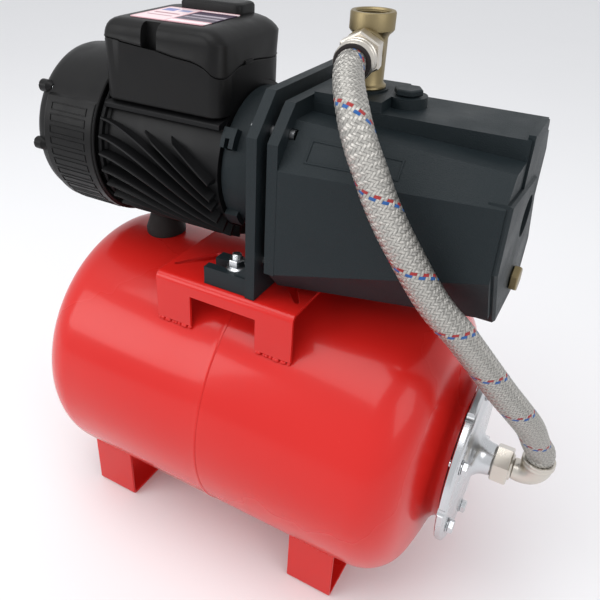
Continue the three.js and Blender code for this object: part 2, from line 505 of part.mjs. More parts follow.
// ---- wet end inside the body ----
place('seal_seat', ring('x', motorC, 22.5, 30.5, shaftR + 1.5, 14, 14), 'plastic');
place('seal_rotating', ring('x', motorC, 31, 40, shaftR + gap, 12.5, 16), 'rubber');
const vanes = [];
for (let i = 0; i < 6; i++) {
  const g = new THREE.BoxGeometry(8, 33, 3);
  g.translate(52, 33, 8);
  g.rotateX(i * Math.PI / 3);
  g.translate(0, 0, pumpZ);
  vanes.push(toSolid(g));
}
place('impeller', join(
  ring('x', motorC, 40.6, 60, shaftR + gap, 14, 16), ring('x', motorC, 45, 49, 12, 52, 18), ring('x', motorC, 54, 57, 22, 52, 18), ...vanes,
), 'brass');
place('diffuser', turn([
  [42, 54.5], [42, 57], [69, 57], [69, 25], [84, 25], [84, 22], [64, 22], [64, 54.5],
], 'x', motorC, 20), 'plastic');
place('venturi_tube', turn([
  [72, 13], [72, 21.5], [88, 21.5], [92, 17], [150, 13], [178, 14], [178, 11.5], [164, 6.5], [150, 6.2],
], 'x', motorC, 14), 'plastic');
place('ejector_nozzle', turn([
  [182, 5], [182, 8], [190, 16], [200, 16], [200, 12.5],
], 'x', motorC, 14), 'brass');

// ---- put the origin at the middle of the footprint, on the floor ----
const bounds = new THREE.Box3();
for (const mesh of group.children) if (mesh.name !== 'braided_hose') bounds.expandByObject(mesh);
const shiftX = -(bounds.min.x + bounds.max.x) / 2;
for (const mesh of group.children) mesh.geometry.translate(shiftX, -(bounds.min.y + bounds.max.y) / 2, -bounds.min.z);
group.name = 'jet_pump_booster_set';

export default group;
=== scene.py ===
import math

import bmesh
import bpy
import numpy as np
from mathutils import Matrix, Vector


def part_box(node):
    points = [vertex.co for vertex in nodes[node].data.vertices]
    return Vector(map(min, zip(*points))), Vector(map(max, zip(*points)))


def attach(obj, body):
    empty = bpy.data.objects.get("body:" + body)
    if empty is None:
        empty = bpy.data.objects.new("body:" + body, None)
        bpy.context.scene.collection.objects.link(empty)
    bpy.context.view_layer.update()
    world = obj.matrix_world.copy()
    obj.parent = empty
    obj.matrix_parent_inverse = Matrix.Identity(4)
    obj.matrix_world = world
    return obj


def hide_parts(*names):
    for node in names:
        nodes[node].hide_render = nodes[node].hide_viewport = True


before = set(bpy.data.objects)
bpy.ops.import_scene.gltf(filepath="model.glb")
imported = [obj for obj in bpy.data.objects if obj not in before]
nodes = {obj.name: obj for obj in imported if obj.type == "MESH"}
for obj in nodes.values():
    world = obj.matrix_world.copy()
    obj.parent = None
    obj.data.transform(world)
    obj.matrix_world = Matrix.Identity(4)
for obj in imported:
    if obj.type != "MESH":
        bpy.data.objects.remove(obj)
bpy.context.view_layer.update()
print("frame loaded:", len(nodes), "pieces")

# Everything is laid out in millimetres from the tank's girth seam, then put in metres in the frame.
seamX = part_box("tank_shell_flange_end")[0].x * 1000 - 0.3
tankZ = 170.0
pumpZ = 415.0


def at(x, y, z):
    return Vector(((x + seamX) / 1000, y / 1000, z / 1000))


# Camera
cameraPlace = {"place": (270.55, -501.65, 630.71), "turn": 30.1, "tilt": -30.56, "roll": 1.2, "lens": 40.03, "shiftX": 0.0738, "shiftY": -0.0424}


def makeCamera(c):
    data = bpy.data.cameras.new("camera")
    data.lens, data.sensor_width = c["lens"], 36
    data.shift_x, data.shift_y = c["shiftX"], c["shiftY"]
    data.clip_start, data.clip_end = 0.01, 50
    camera = bpy.data.objects.new("camera", data)
    bpy.context.scene.collection.objects.link(camera)
    turned = Matrix.Rotation(math.radians(c["turn"]), 4, "Z") @ Matrix.Rotation(math.radians(90 + c["tilt"]), 4, "X") @ Matrix.Rotation(math.radians(c["roll"]), 4, "Z")
    camera.matrix_world = Matrix.Translation(at(*c["place"])) @ turned
    bpy.context.scene.camera = camera


makeCamera(cameraPlace)
bpy.context.scene.view_settings.view_transform = "Standard"

# Finishes
finishes = {
    "redPaint": {"colour": (0.55, 0.011, 0.009), "tint": (0.61, 0.018, 0.013), "rough": (0.2, 0.32), "grain": 55, "bump": 0.05, "depth": 0.0004, "coat": 0.2, "shine": 0.25},
    "blackPaint": {"colour": (0.0045, 0.0045, 0.005), "tint": (0.008, 0.008, 0.0085), "rough": (0.3, 0.46), "grain": 220, "bump": 0.15, "depth": 0.0003, "shine": 0.16},
    "blackPlastic": {"colour": (0.005, 0.005, 0.0053), "tint": (0.008, 0.0077, 0.0077), "rough": (0.34, 0.46), "grain": 700, "bump": 0.1, "depth": 0.0001, "shine": 0.16},
    "slateCasting": {"colour": (0.0075, 0.0125, 0.015), "tint": (0.014, 0.02, 0.023), "rough": (0.4, 0.58), "grain": 300, "bump": 0.55, "depth": 0.0008, "shine": 0.2},
    "galvanised": {"colour": (0.5, 0.51, 0.53), "tint": (0.68, 0.69, 0.7), "rough": (0.16, 0.36), "grain": 120, "bump": 0.08, "depth": 0.0002, "metal": 1},
    "groundSteel": {"colour": (0.4, 0.4, 0.41), "tint": (0.55, 0.55, 0.55), "rough": (0.2, 0.35), "grain": 300, "bump": 0.05, "depth": 0.0001, "metal": 1},
    "nickelPlate": {"colour": (0.52, 0.48, 0.42), "tint": (0.68, 0.64, 0.58), "rough": (0.2, 0.36), "grain": 260, "bump": 0.1, "depth": 0.0002, "metal": 1},
    "castBrass": {"colour": (0.21, 0.165, 0.085), "tint": (0.31, 0.25, 0.14), "rough": (0.34, 0.52), "grain": 320, "bump": 0.25, "depth": 0.0003, "metal": 1},
    "blackRubber": {"colour": (0.01, 0.007, 0.007), "tint": (0.018, 0.013, 0.012), "rough": (0.6, 0.8), "grain": 400, "bump": 0.2, "depth": 0.0002, "shine": 0.3},
    "laminations": {"colour": (0.16, 0.16, 0.17), "tint": (0.26, 0.26, 0.27), "rough": (0.4, 0.55), "grain": 900, "bump": 0.3, "depth": 0.0002, "metal": 1},
    "copperWire": {"colour": (0.42, 0.14, 0.05), "tint": (0.55, 0.2, 0.08), "rough": (0.3, 0.5), "grain": 500, "bump": 0.4, "depth": 0.0004, "metal": 1},
    "palePlastic": {"colour": (0.5, 0.48, 0.42), "tint": (0.58, 0.56, 0.5), "rough": (0.4, 0.55), "grain": 400, "bump": 0.1, "depth": 0.0001},
}


def finishMaterial(name, f):
    material = bpy.data.materials.new(name)
    material.use_nodes = True
    tree = material.node_tree
    make, link = tree.nodes.new, tree.links.new
    shader = tree.nodes["Principled BSDF"]
    place = make("ShaderNodeTexCoord")
    broad = make("ShaderNodeTexNoise")  # slow drift in colour and gloss
    broad.inputs["Scale"].default_value = f["grain"] / 12
    broad.inputs["Detail"].default_value = 4
    fine = make("ShaderNodeTexNoise")  # the grain itself
    fine.inputs["Scale"].default_value = f["grain"] * 4
    fine.inputs["Detail"].default_value = 3
    for n in (broad, fine):
        link(place.outputs["Object"], n.inputs["Vector"])
    tone = make("ShaderNodeMix")
    tone.data_type = "RGBA"
    tone.inputs["A"].default_value = (*f["colour"], 1)
    tone.inputs["B"].default_value = (*f["tint"], 1)
    link(broad.outputs["Fac"], tone.inputs["Factor"])
    link(tone.outputs["Result"], shader.inputs["Base Color"])
    gloss = make("ShaderNodeMapRange")
    gloss.inputs["From Min"].default_value, gloss.inputs["From Max"].default_value = 0.3, 0.7
    gloss.inputs["To Min"].default_value, gloss.inputs["To Max"].default_value = f["rough"]
    link(broad.outputs["Fac"], gloss.inputs["Value"])
    link(gloss.outputs["Result"], shader.inputs["Roughness"])
    bump = make("ShaderNodeBump")
    bump.inputs["Strength"].default_value = f["bump"]
    bump.inputs["Distance"].default_value = f["depth"]
    link(fine.outputs["Fac"], bump.inputs["Height"])
    link(bump.outputs["Normal"], shader.inputs["Normal"])
    shader.inputs["Metallic"].default_value = f.get("metal", 0)
    shader.inputs["Coat Weight"].default_value = f.get("coat", 0)
    shader.inputs["Specular IOR Level"].default_value = f.get("shine", 0.5)
    shader.inputs["Coat Roughness"].default_value = 0.08
    return material


looks = {name: finishMaterial(name, f) for name, f in finishes.items()}
print("finishes mixed")


# Shop tools
def settle(bm, name, look, replaces=(), body="set", sharp=32, bevel=0.0, steps=2, recalc=True):
    bmesh.ops.remove_doubles(bm, verts=bm.verts, dist=1e-6)
    if recalc:
        bmesh.ops.recalc_face_normals(bm, faces=bm.faces)
    mesh = bpy.data.meshes.new(name)
    bm.to_mesh(mesh)
    bm.free()
    piece = bpy.data.objects.new(name, mesh)
    bpy.context.scene.collection.objects.link(piece)
    dress(piece, look, replaces, body, sharp, bevel, steps)
    return piece


def dress(piece, look, replaces=(), body="set", sharp=32, bevel=0.0, steps=2):
    piece.data.materials.clear()
    piece.data.materials.append(looks[look])
    for face in piece.data.polygons:
        face.use_smooth = True
    piece.data.set_sharp_from_angle(angle=math.radians(sharp))
    if bevel:
        edge = piece.modifiers.new("edges", "BEVEL")
        edge.width, edge.segments, edge.limit_method, edge.angle_limit = bevel / 1000, steps, "ANGLE", math.radians(sharp)
        edge.harden_normals = False
    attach(piece, body)
    if replaces:
        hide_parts(*replaces)


def solid(bm):
    bmesh.ops.remove_doubles(bm, verts=bm.verts, dist=1e-6)
    bmesh.ops.recalc_face_normals(bm, faces=bm.faces)
    mesh = bpy.data.meshes.new("work")
    bm.to_mesh(mesh)
    bm.free()
    work = bpy.data.objects.new("work", mesh)
    bpy.context.scene.collection.objects.link(work)
    return work


def shape(target, others, how="DIFFERENCE"):
    for other in others:
        cut = target.modifiers.new("cut", "BOOLEAN")
        cut.operation, cut.object, cut.solver = how, other, "EXACT"
    done = bpy.data.meshes.new_from_object(target.evaluated_get(bpy.context.evaluated_depsgraph_get()))
    target.modifiers.clear()
    target.data = done
    for other in others:
        bpy.data.objects.remove(other)
    return target


def named(work, name, look, replaces=(), body="set", sharp=32, bevel=0.0, steps=2):
    work.name = name
    work.data.name = name
    dress(work, look, replaces, body, sharp, bevel, steps)
    return work


# Spins a closed profile of (along, radius) points in mm about an axis through centre.
def spun(profile, axis, centre, steps=64, bm=None):
    bm = bm or bmesh.new()
    along = {"x": Vector((1, 0, 0)), "y": Vector((0, 1, 0)), "z": Vector((0, 0, 1))}[axis]
    out = {"x": Vector((0, 0, 1)), "y": Vector((0, 0, 1)), "z": Vector((1, 0, 0))}[axis]
    cx, cy, cz = centre
    base = at(0 if axis == "x" else cx, 0 if axis == "y" else cy, 0 if axis == "z" else cz)
    verts = [bm.verts.new(base + along * (a / 1000) + out * (r / 1000)) for a, r in profile]
    pairs = list(zip(verts, verts[1:]))
    if profile[0][1] > 1e-6 and profile[-1][1] > 1e-6:
        pairs.append((verts[-1], verts[0]))
    edges = [bm.edges.new(p) for p in pairs]
    bmesh.ops.spin(bm, geom=verts + edges, cent=base, axis=along, dvec=(0, 0, 0), angle=2 * math.pi, space=Matrix.Identity(4), steps=steps, use_merge=True, use_normal_flip=False, use_duplicate=False)
    bmesh.ops.remove_doubles(bm, verts=bm.verts, dist=1e-6)
    return bm


def rod(axis, centre, a0, a1, r, steps=24, bm=None):
    return spun([(a0, 0), (a0, r), (a1, r), (a1, 0)], axis, centre, steps, bm)


# Bridges matching outlines, given as lists of points in mm, into one closed skin.
def bridged(outlines, bm=None):
    bm = bm or bmesh.new()
    loops = []
    for outline in outlines:
        verts = [bm.verts.new(at(*p)) for p in outline]
        loops.append([bm.edges.new((a, b)) for a, b in zip(verts, verts[1:] + verts[:1])])
    for end in (loops[0], loops[-1]):
        bmesh.ops.triangle_fill(bm, edges=end, use_beauty=True, use_dissolve=False)
    for low, high in zip(loops, loops[1:]):
        bmesh.ops.bridge_loops(bm, edges=low + high)
    return bm


def block(x0, x1, y0, y1, z0, z1, bm=None):
    bm = bm or bmesh.new()
    made = bmesh.ops.create_cube(bm, size=1)["verts"]
    bmesh.ops.scale(bm, verts=made, vec=((x1 - x0) / 1000, (y1 - y0) / 1000, (z1 - z0) / 1000))
    bmesh.ops.translate(bm, verts=made, vec=at((x0 + x1) / 2, (y0 + y1) / 2, (z0 + z1) / 2))
    return bm


def hexagon(axis, centre, a0, a1, flats, bm=None, ease=0.8):
    r = flats / math.sqrt(3)
    return spun([(a0, 0), (a0, r - ease), (a0 + ease * 0.6, r), (a1 - ease * 0.6, r), (a1, r - ease), (a1, 0)], axis, centre, 6, bm)


def arc(cx, cy, r, start, end, steps):
    return [(cx + r * math.cos(math.radians(start + (end - start) * i / steps)), cy + r * math.sin(math.radians(start + (end - start) * i / steps))) for i in range(steps + 1)]


def mirrored(half):
    return half + [(-a, b) for a, b in reversed(half)]


def slab(outline, axis, a0, a1, bm=None):
    if axis == "x":
        rings = [[(a, p, q) for p, q in outline] for a in (a0, a1)]
    elif axis == "y":
        rings = [[(p, a, q) for p, q in outline] for a in (a0, a1)]
    else:
        rings = [[(p, q, a) for p, q in outline] for a in (a0, a1)]
    return bridged(rings, bm)


# Braided hose, from the outlet tee down to the tank
hose = {
    "radius": 12.1, "slimmer": 0.91, "slimOver": 110, "carriers": 20, "pitch": 57.0, "redLane": 13, "blueLane": 14, "relief": 0.42, "around": 96, "along": 880,
    "route": [
        (85.5, -54.2, 521.3), (86.9, -61, 519.9), (89.6, -68, 516.8), (93.4, -75.5, 512.6), (99, -84.5, 507.2), (104.9, -92.5, 501),
        (110.9, -99, 492.6), (118.6, -103.6, 480), (126.6, -105.2, 466), (136, -106, 447.8), (147.1, -106, 429.5), (159.3, -104, 410.3),
        (175.3, -99, 384.7), (187.5, -94, 367.8), (199.1, -86, 352), (211.2, -76, 332.1), (224, -64, 309.5), (237.5, -51, 285.6),
        (251.4, -36, 261), (261.5, -23, 240.5), (270.3, -8, 212.7), (275.8, -0.3, 199), (276, 0, 192.4),
    ],
}


def smoothRoute(points, count):
    pts = [np.array(p, float) for p in points]
    pts = [2 * pts[0] - pts[1]] + pts + [2 * pts[-1] - pts[-2]]
    fine = []
    for i in range(1, len(pts) - 2):
        p0, p1, p2, p3 = pts[i - 1:i + 3]
        t0 = 0.0
        t1 = t0 + np.linalg.norm(p1 - p0) ** 0.5
        t2 = t1 + np.linalg.norm(p2 - p1) ** 0.5
        t3 = t2 + np.linalg.norm(p3 - p2) ** 0.5
        for t in np.linspace(t1, t2, 40, endpoint=False):
            a1 = (t1 - t) / (t1 - t0) * p0 + (t - t0) / (t1 - t0) * p1
            a2 = (t2 - t) / (t2 - t1) * p1 + (t - t1) / (t2 - t1) * p2
            a3 = (t3 - t) / (t3 - t2) * p2 + (t - t2) / (t3 - t2) * p3
            b1 = (t2 - t) / (t2 - t0) * a1 + (t - t0) / (t2 - t0) * a2
            b2 = (t3 - t) / (t3 - t1) * a2 + (t - t1) / (t3 - t1) * a3
            fine.append((t2 - t) / (t2 - t1) * b1 + (t - t1) / (t2 - t1) * b2)
    fine.append(pts[-2])
    fine = np.array(fine)
    run = np.r_[0, np.cumsum(np.linalg.norm(np.diff(fine, axis=0), axis=1))]
    even = np.linspace(0, run[-1], count)
    return np.stack([np.interp(even, run, fine[:, k]) for k in range(3)], 1), run[-1]


def makeHose(h):
    line, length = smoothRoute(h["route"], h["along"])
    n, m = h["around"], h["along"]
    tangent = np.gradient(line, axis=0)
    tangent /= np.linalg.norm(tangent, axis=1)[:, None]
    side = np.zeros_like(tangent)
    side[0] = np.cross(tangent[0], (0, 0, 1.0))
    side[0] /= np.linalg.norm(side[0])
    for i in range(1, m):  # carries the frame along without twist
        s = side[i - 1] - tangent[i] * np.dot(side[i - 1], tangent[i])
        side[i] = s / np.linalg.norm(s)
    up = np.cross(tangent, side)
    turn = np.arange(n + 1) / n
    s = np.linspace(0, length, m)
    a = h["carriers"] * (turn[None, :] + s[:, None] / h["pitch"])
    b = h["carriers"] * (turn[None, :] - s[:, None] / h["pitch"])
    ia, ib = np.floor(a), np.floor(b)
    profile = lambda f: 1 - np.abs(2 * (f - 0.5)) ** 3
    overA = np.cos(math.pi / 2 * (((b - ia) % 4) - 1)) * profile(a - ia)
    overB = np.cos(math.pi / 2 * (((ib - a) % 4) - 2)) * profile(b - ib)
    height = np.maximum(np.maximum(overA, overB), -0.2)
    ease = np.clip(s / h["slimOver"], 0, 1)
    swell = h["slimmer"] + (1 - h["slimmer"]) * ease * ease * (3 - 2 * ease)
    radius = h["radius"] * swell[:, None] + h["relief"] * (height - 1)
    angle = turn * 2 * math.pi
    ring = np.cos(angle)[None, :, None] * side[:, None, :] + np.sin(angle)[None, :, None] * up[:, None, :]
    points = line[:, None, :] + radius[..., None] * ring
    bm = bmesh.new()
    uv = bm.loops.layers.uv.new("braid")
    rows = [[bm.verts.new(at(*points[i, j])) for j in range(n)] for i in range(m)]
    for i in range(m - 1):
        for j in range(n):
            k = (j + 1) % n
            face = bm.faces.new((rows[i][j], rows[i][k], rows[i + 1][k], rows[i + 1][j]))
            for loop, (p, q) in zip(face.loops, ((i, j), (i, j + 1), (i + 1, j + 1), (i + 1, j))):
                loop[uv].uv = (turn[q], s[p] / h["pitch"])
    bm.faces.new(list(reversed(rows[0])))
    bm.faces.new(rows[-1])
    piece = settle(bm, "hoseBraid", "braid", ["braided_hose"], sharp=180)
    print("hose length mm", round(length, 1))
    return piece


# Woven bright wire with one red and one blue carrier, drawn on the hose's own map.
def braidMaterial(h):
    material = bpy.data.materials.new("stainlessBraid")
    material.use_nodes = True
    tree = material.node_tree
    make, link = tree.nodes.new, tree.links.new
    shader = tree.nodes["Principled BSDF"]

    def calc(op, first, second=None, third=None):
        n = make("ShaderNodeMath")
        n.operation = op
        for i, v in enumerate((first, second, third)):
            if v is None:
                continue
            if isinstance(v, (int, float)):
                n.inputs[i].default_value = v
            else:
                link(v, n.inputs[i])
        return n.outputs[0]

    braidMap = make("ShaderNodeUVMap")
    braidMap.uv_map = "braid"
    split = make("ShaderNodeSeparateXYZ")
    link(braidMap.outputs["UV"], split.inputs[0])
    u, v = split.outputs["X"], split.outputs["Y"]
    count = h["carriers"]
    a = calc("MULTIPLY", calc("ADD", u, v), count)
    b = calc("MULTIPLY", calc("SUBTRACT", u, v), count)
    ia, ib = calc("FLOOR", a), calc("FLOOR", b)
    fa, fb = calc("SUBTRACT", a, ia), calc("SUBTRACT", b, ib)
    swap = calc("FLOORED_MODULO", calc("SUBTRACT", ib, ia), 4)
    onTop = calc("LESS_THAN", swap, 2)  # carrier A lies over B here
    across = make("ShaderNodeMix")
    link(onTop, across.inputs["Factor"])
    link(fb, across.inputs["A"])
    link(fa, across.inputs["B"])
    f = across.outputs["Result"]
    wires = calc("ABSOLUTE", calc("SINE", calc("MULTIPLY", f, math.pi * 6)))
    edge = calc("POWER", calc("ABSOLUTE", calc("SUBTRACT", calc("MULTIPLY", f, 2), 1)), 4)
    shade = calc("MULTIPLY", calc("MULTIPLY_ADD", wires, 0.5, 0.5), calc("SUBTRACT", 1, calc("MULTIPLY", edge, 0.75)))
    tone = make("ShaderNodeMix")
    tone.data_type = "RGBA"
    tone.inputs["A"].default_value = (0.035, 0.032, 0.03, 1)
    tone.inputs["B"].default_value = (0.62, 0.6, 0.56, 1)
    link(shade, tone.inputs["Factor"])
    lane = calc("FLOORED_MODULO", ia, count)
    colour = tone.outputs["Result"]
    for place, dye in ((h["redLane"], (0.36, 0.02, 0.02, 1)), (h["blueLane"], (0.01, 0.1, 0.34, 1))):
        mine = calc("MULTIPLY", calc("COMPARE", lane, place, 0.5), onTop)
        mix = make("ShaderNodeMix")
        mix.data_type = "RGBA"
        link(mine, mix.inputs["Factor"])
        link(colour, mix.inputs["A"])
        mix.inputs["B"].default_value = dye
        colour = mix.outputs["Result"]
    link(colour, shader.inputs["Base Color"])
    dyed = calc("MAXIMUM", calc("COMPARE", lane, h["redLane"], 0.5), calc("COMPARE", lane, h["blueLane"], 0.5))
    link(calc("SUBTRACT", 1, calc("MULTIPLY", calc("MULTIPLY", dyed, onTop), 0.9)), shader.inputs["Metallic"])
    link(calc("SUBTRACT", 0.42, calc("MULTIPLY", wires, 0.14)), shader.inputs["Roughness"])
    bump = make("ShaderNodeBump")
    bump.inputs["Strength"].default_value = 0.6
    bump.inputs["Distance"].default_value = 0.0003
    link(wires, bump.inputs["Height"])
    link(bump.outputs["Normal"], shader.inputs["Normal"])
    return material


looks["braid"] = braidMaterial(hose)
makeHose(hose)
print("hose braided")

# Tank
tank = {"radius": 140, "wall": 1.5, "motorTangent": -163, "motorDepth": 75, "motorKnuckle": 45, "flangeTangent": 148, "flangeDepth": 60, "flangeKnuckle": 44, "neck": 66, "steps": 144}


def headProfile(tangent, depth, knuckle, side, radius, steps):
    dish = radius
    for _ in range(60):
        rise = math.sqrt(max((dish - knuckle) ** 2 - (radius - knuckle) ** 2, 0))
        dish += (dish - rise - depth) * 2
    rise = math.sqrt((dish - knuckle) ** 2 - (radius - knuckle) ** 2)
    split = math.atan2(radius - knuckle, rise)
    points = [(tangent + side * knuckle * math.sin(a), radius - knuckle + knuckle * math.cos(a)) for a in ((math.pi / 2 - split) * i / steps for i in range(steps + 1))]
    points += [(tangent + side * (dish * math.cos(b) - rise), dish * math.sin(b)) for b in (split * (1 - i / steps) for i in range(1, steps + 1))]
    return points


def makeTank(t):
    centre, r, w = (0, 0, tankZ), t["radius"], t["wall"]
    out = headProfile(t["motorTangent"], t["motorDepth"], t["motorKnuckle"], -1, r, 14)
    inner = headProfile(t["motorTangent"], t["motorDepth"] - w, t["motorKnuckle"] - w, -1, r - w, 10)
    hole = 5
    out, inner = out[:-1] + [(out[-1][0], hole)], inner[:-1] + [(inner[-1][0], hole)]
    lap = [(-0.02, r - w), (-0.02, r), (-0.3, r + 0.35), (-1.2, r + 0.6), (-2.6, r + 0.6), (-4.2, r + 0.3), (-6.5, r)]
    straight = [(x, r) for x in (-40, -80, -120)]
    settle(spun(lap + straight + out + inner[::-1], "x", centre, t["steps"]), "tankMotorHalf", "redPaint", ["tank_shell_motor_end"], sharp=50)
    out = [p for p in headProfile(t["flangeTangent"], t["flangeDepth"], t["flangeKnuckle"], 1, r, 14) if p[1] > t["neck"] + 10]
    inner = [p for p in headProfile(t["flangeTangent"], t["flangeDepth"] - w, t["flangeKnuckle"] - w, 1, r - w, 10) if p[1] > t["neck"] + 4]
    neck = [(200.5, t["neck"] + 7), (202, t["neck"] + 5), (203.4, t["neck"] + 3), (206, t["neck"] + 1.2), (210.2, t["neck"] + 1.2), (210.2, t["neck"] - 2), (203, t["neck"] - 2), (199, t["neck"])]
    straight = [(x, r) for x in (40, 80, 120)]
    settle(spun([(0.02, r - w), (0.02, r)] + straight + out + neck + inner[::-1], "x", centre, t["steps"]), "tankFlangeHalf", "redPaint", ["tank_shell_flange_end"], sharp=50)


makeTank(tank)
print("tank pressed")

# Platform the pump stands on, and the two feet
platform = {"top": 323.7, "half": 95.6, "from": -70, "to": 71, "plate": 3, "bend": 7, "windowTop": 308.5, "windowFrom": -33, "windowTo": 35, "slotNarrow": 4.6, "slotWide": 12.5}
feet = {"half": 97, "plate": 3, "bend": 5, "pairs": [("footMotorEnd", "foot_bracket_motor_end", -175, -124), ("footFlangeEnd", "foot_bracket_flange_end", 81, 130)]}
weld = {"radius": 2.1, "step": 3.4, "wander": 0.9}


def bentSheet(half, cornerZ, openZ, t, r, side):
    outer = [(half, openZ)] + [(half - r + r * math.cos(a), cornerZ - side * r + side * r * math.sin(a)) for a in (math.radians(d) for d in range(0, 91, 10))]
    inner = [(half - t, openZ)] + [(half - r + (r - t) * math.cos(a), cornerZ - side * r + side * (r - t) * math.sin(a)) for a in (math.radians(d) for d in range(0, 91, 10))]
    return outer + [(-y, z) for y, z in reversed(outer)] + [(-y, z) for y, z in inner] + inner[::-1]


def slotCutter(xa, ya, xb, yb, narrow, wide):
    turn = math.degrees(math.atan2(yb - ya, xb - xa))
    outline = arc(xb, yb, wide / 2, turn - 90, turn + 90, 8) + arc(xa, ya, narrow / 2, turn + 90, turn + 270, 8)
    return solid(slab(outline, "z", 312, 330))


def makePlatform(p):
    low = tankZ + math.sqrt(141 ** 2 - (p["half"] - p["plate"]) ** 2) + 0.3
    work = solid(slab(bentSheet(p["half"], p["top"], low, p["plate"], p["bend"], 1), "x", p["from"], p["to"]))
    cutters = [solid(block(p["windowFrom"], p["windowTo"], -110, 110, low - 5, p["windowTop"]))]
    for sx in (-1, 1):
        for sy in (-1, 1):
            cutters.append(slotCutter(sx * 62.5, sy * 72.5, sx * 37.8, sy * 41, p["slotNarrow"], p["slotWide"]))
    for sy in (-1, 1):
        cutters.append(solid(rod("z", (4.5, sy * 75.4, 0), 300, 340, 4.6)))
    named(shape(work, cutters), "platform", "redPaint", ["pump_platform"], sharp=35, bevel=0.7, steps=2)
    return low


# A line of small overlapping blobs, as hand welding leaves, laid along points in mm.
def weldLine(name, starts, w):
    bm = bmesh.new()
    for k, (a, b) in enumerate(starts):
        a, b = Vector(a), Vector(b)
        count = max(2, int((b - a).length / w["step"]))
        for i in range(count + 1):
            wobble = math.sin(i * 7.3 + k * 2.1)
            spot = a.lerp(b, i / count)
            made = bmesh.ops.create_icosphere(bm, subdivisions=2, radius=w["radius"] * (1 + 0.18 * wobble) / 1000)["verts"]
            bmesh.ops.translate(bm, verts=made, vec=at(spot.x + w["wander"] * math.sin(i * 3.7 + k), spot.y, spot.z + w["wander"] * 0.6 * math.sin(i * 5.9 + k)))
    return settle(bm, name, "redPaint", sharp=80, recalc=False)


low = makePlatform(platform)
legs = []
for sy in (-1, 1):
    for x0, x1 in ((platform["from"] + 2, platform["windowFrom"] - 2), (platform["windowTo"] + 2, platform["to"] - 2)):
        legs.append(((x0, sy * (platform["half"] - 1), low - 1.4), (x1, sy * (platform["half"] - 1), low - 1.4)))
weldLine("platformWeld", legs, weld)


def makeFeet(f):
    top = tankZ - math.sqrt(141 ** 2 - (f["half"] - f["plate"]) ** 2) - 0.3
    lines = []
    for name, node, x0, x1 in f["pairs"]:
        work = slab(bentSheet(f["half"], 0, top, f["plate"], f["bend"], -1), "x", x0, x1)
        settle(work, name, "redPaint", [node], sharp=35, bevel=0.7)
        for sy in (-1, 1):
            lines.append(((x0 + 2, sy * (f["half"] - 1.2), top + 0.8), (x1 - 2, sy * (f["half"] - 1.2), top + 0.8)))
    weldLine("footWeld", lines, weld)


makeFeet(feet)
print("platform and feet welded")

# Rubber block under the motor
rubberBlock = {"x": -131, "foot": 20.5, "top": 13.5, "topZ": 336.6}


def makeRubber(r):
    base = tankZ + tank["radius"]
    work = solid(spun([(base - 4, 0), (base - 4, r["foot"]), (base + 4.5, r["foot"]), (base + 6.5, r["foot"] - 0.8), (r["topZ"] - 1.2, r["top"]), (r["topZ"], r["top"] - 1.2), (r["topZ"], 0)], "z", (r["x"], 0, 0), 48))
    named(shape(work, [solid(rod("x", (0, 0, tankZ), -170, -100, tank["radius"] + 0.3, 160))]), "rubberBlock", "blackRubber", ["motor_rubber_support"], sharp=35, bevel=0.4)


makeRubber(rubberBlock)

# Flange, bolts, nut and elbow on the tank's end
flange = {"x": 213, "radius": 86, "circle": 72, "bore": 12, "bolts": 6}


def makeFlange(f):
    x, r = f["x"], f["radius"]
    profile = [(x, f["bore"]), (x, r - 0.8), (x + 0.8, r), (x + 5.2, r), (x + 6, r - 0.8), (x + 6.4, r - 2.6), (x + 7.5, r - 4.4), (x + 7.5, 62), (x + 8.2, 60), (x + 9, 58), (x + 9, 33), (x + 9.6, 29), (x + 11, 24.5), (x + 13.5, 20), (x + 17, 17), (x + 21, 15.6), (x + 26, 15), (x + 27, 14.2), (x + 27, f["bore"])]
    work = solid(spun(profile, "x", (0, 0, tankZ), 120))
    cutters = []
    for i in range(f["bolts"]):
        a = math.radians(i * 60 - 90)
        cutters.append(solid(rod("x", (0, f["circle"] * math.cos(a), tankZ + f["circle"] * math.sin(a)), x - 2, x + 12, 3.7)))
        n = a + math.radians(30)
        cutters.append(solid(rod("x", (0, (r + 2.6) * math.cos(n), tankZ + (r + 2.6) * math.sin(n)), x - 1, x + 9, 5.2, 28)))  # scallop in the rim
    named(shape(work, cutters), "counterFlange", "galvanised", ["tank_flange"], sharp=30, bevel=0.35)
    for i in range(f["bolts"]):
        a = math.radians(i * 60 - 90)
        c = (0, f["circle"] * math.cos(a), tankZ + f["circle"] * math.sin(a))
        bm = spun([(x + 7.8, 0), (x + 7.8, 6.9), (x + 8.7, 6.9), (x + 8.9, 0)], "x", c, 24)
        hexagon("x", c, x + 8.8, x + 13.4, 11, bm)
        rod("x", c, x - 2.2, x + 8.9, 3.2, 20, bm)
        settle(bm, "flangeBolt%d" % (i + 1), "galvanised", ["flange_bolt_%d" % (i + 1)], sharp=28)


makeFlange(flange)


elbow = {"x": 276, "bend": 14, "tube": 10.4, "mouth": 13.3, "sleeve": 14.3, "around": 48, "steps": 16}


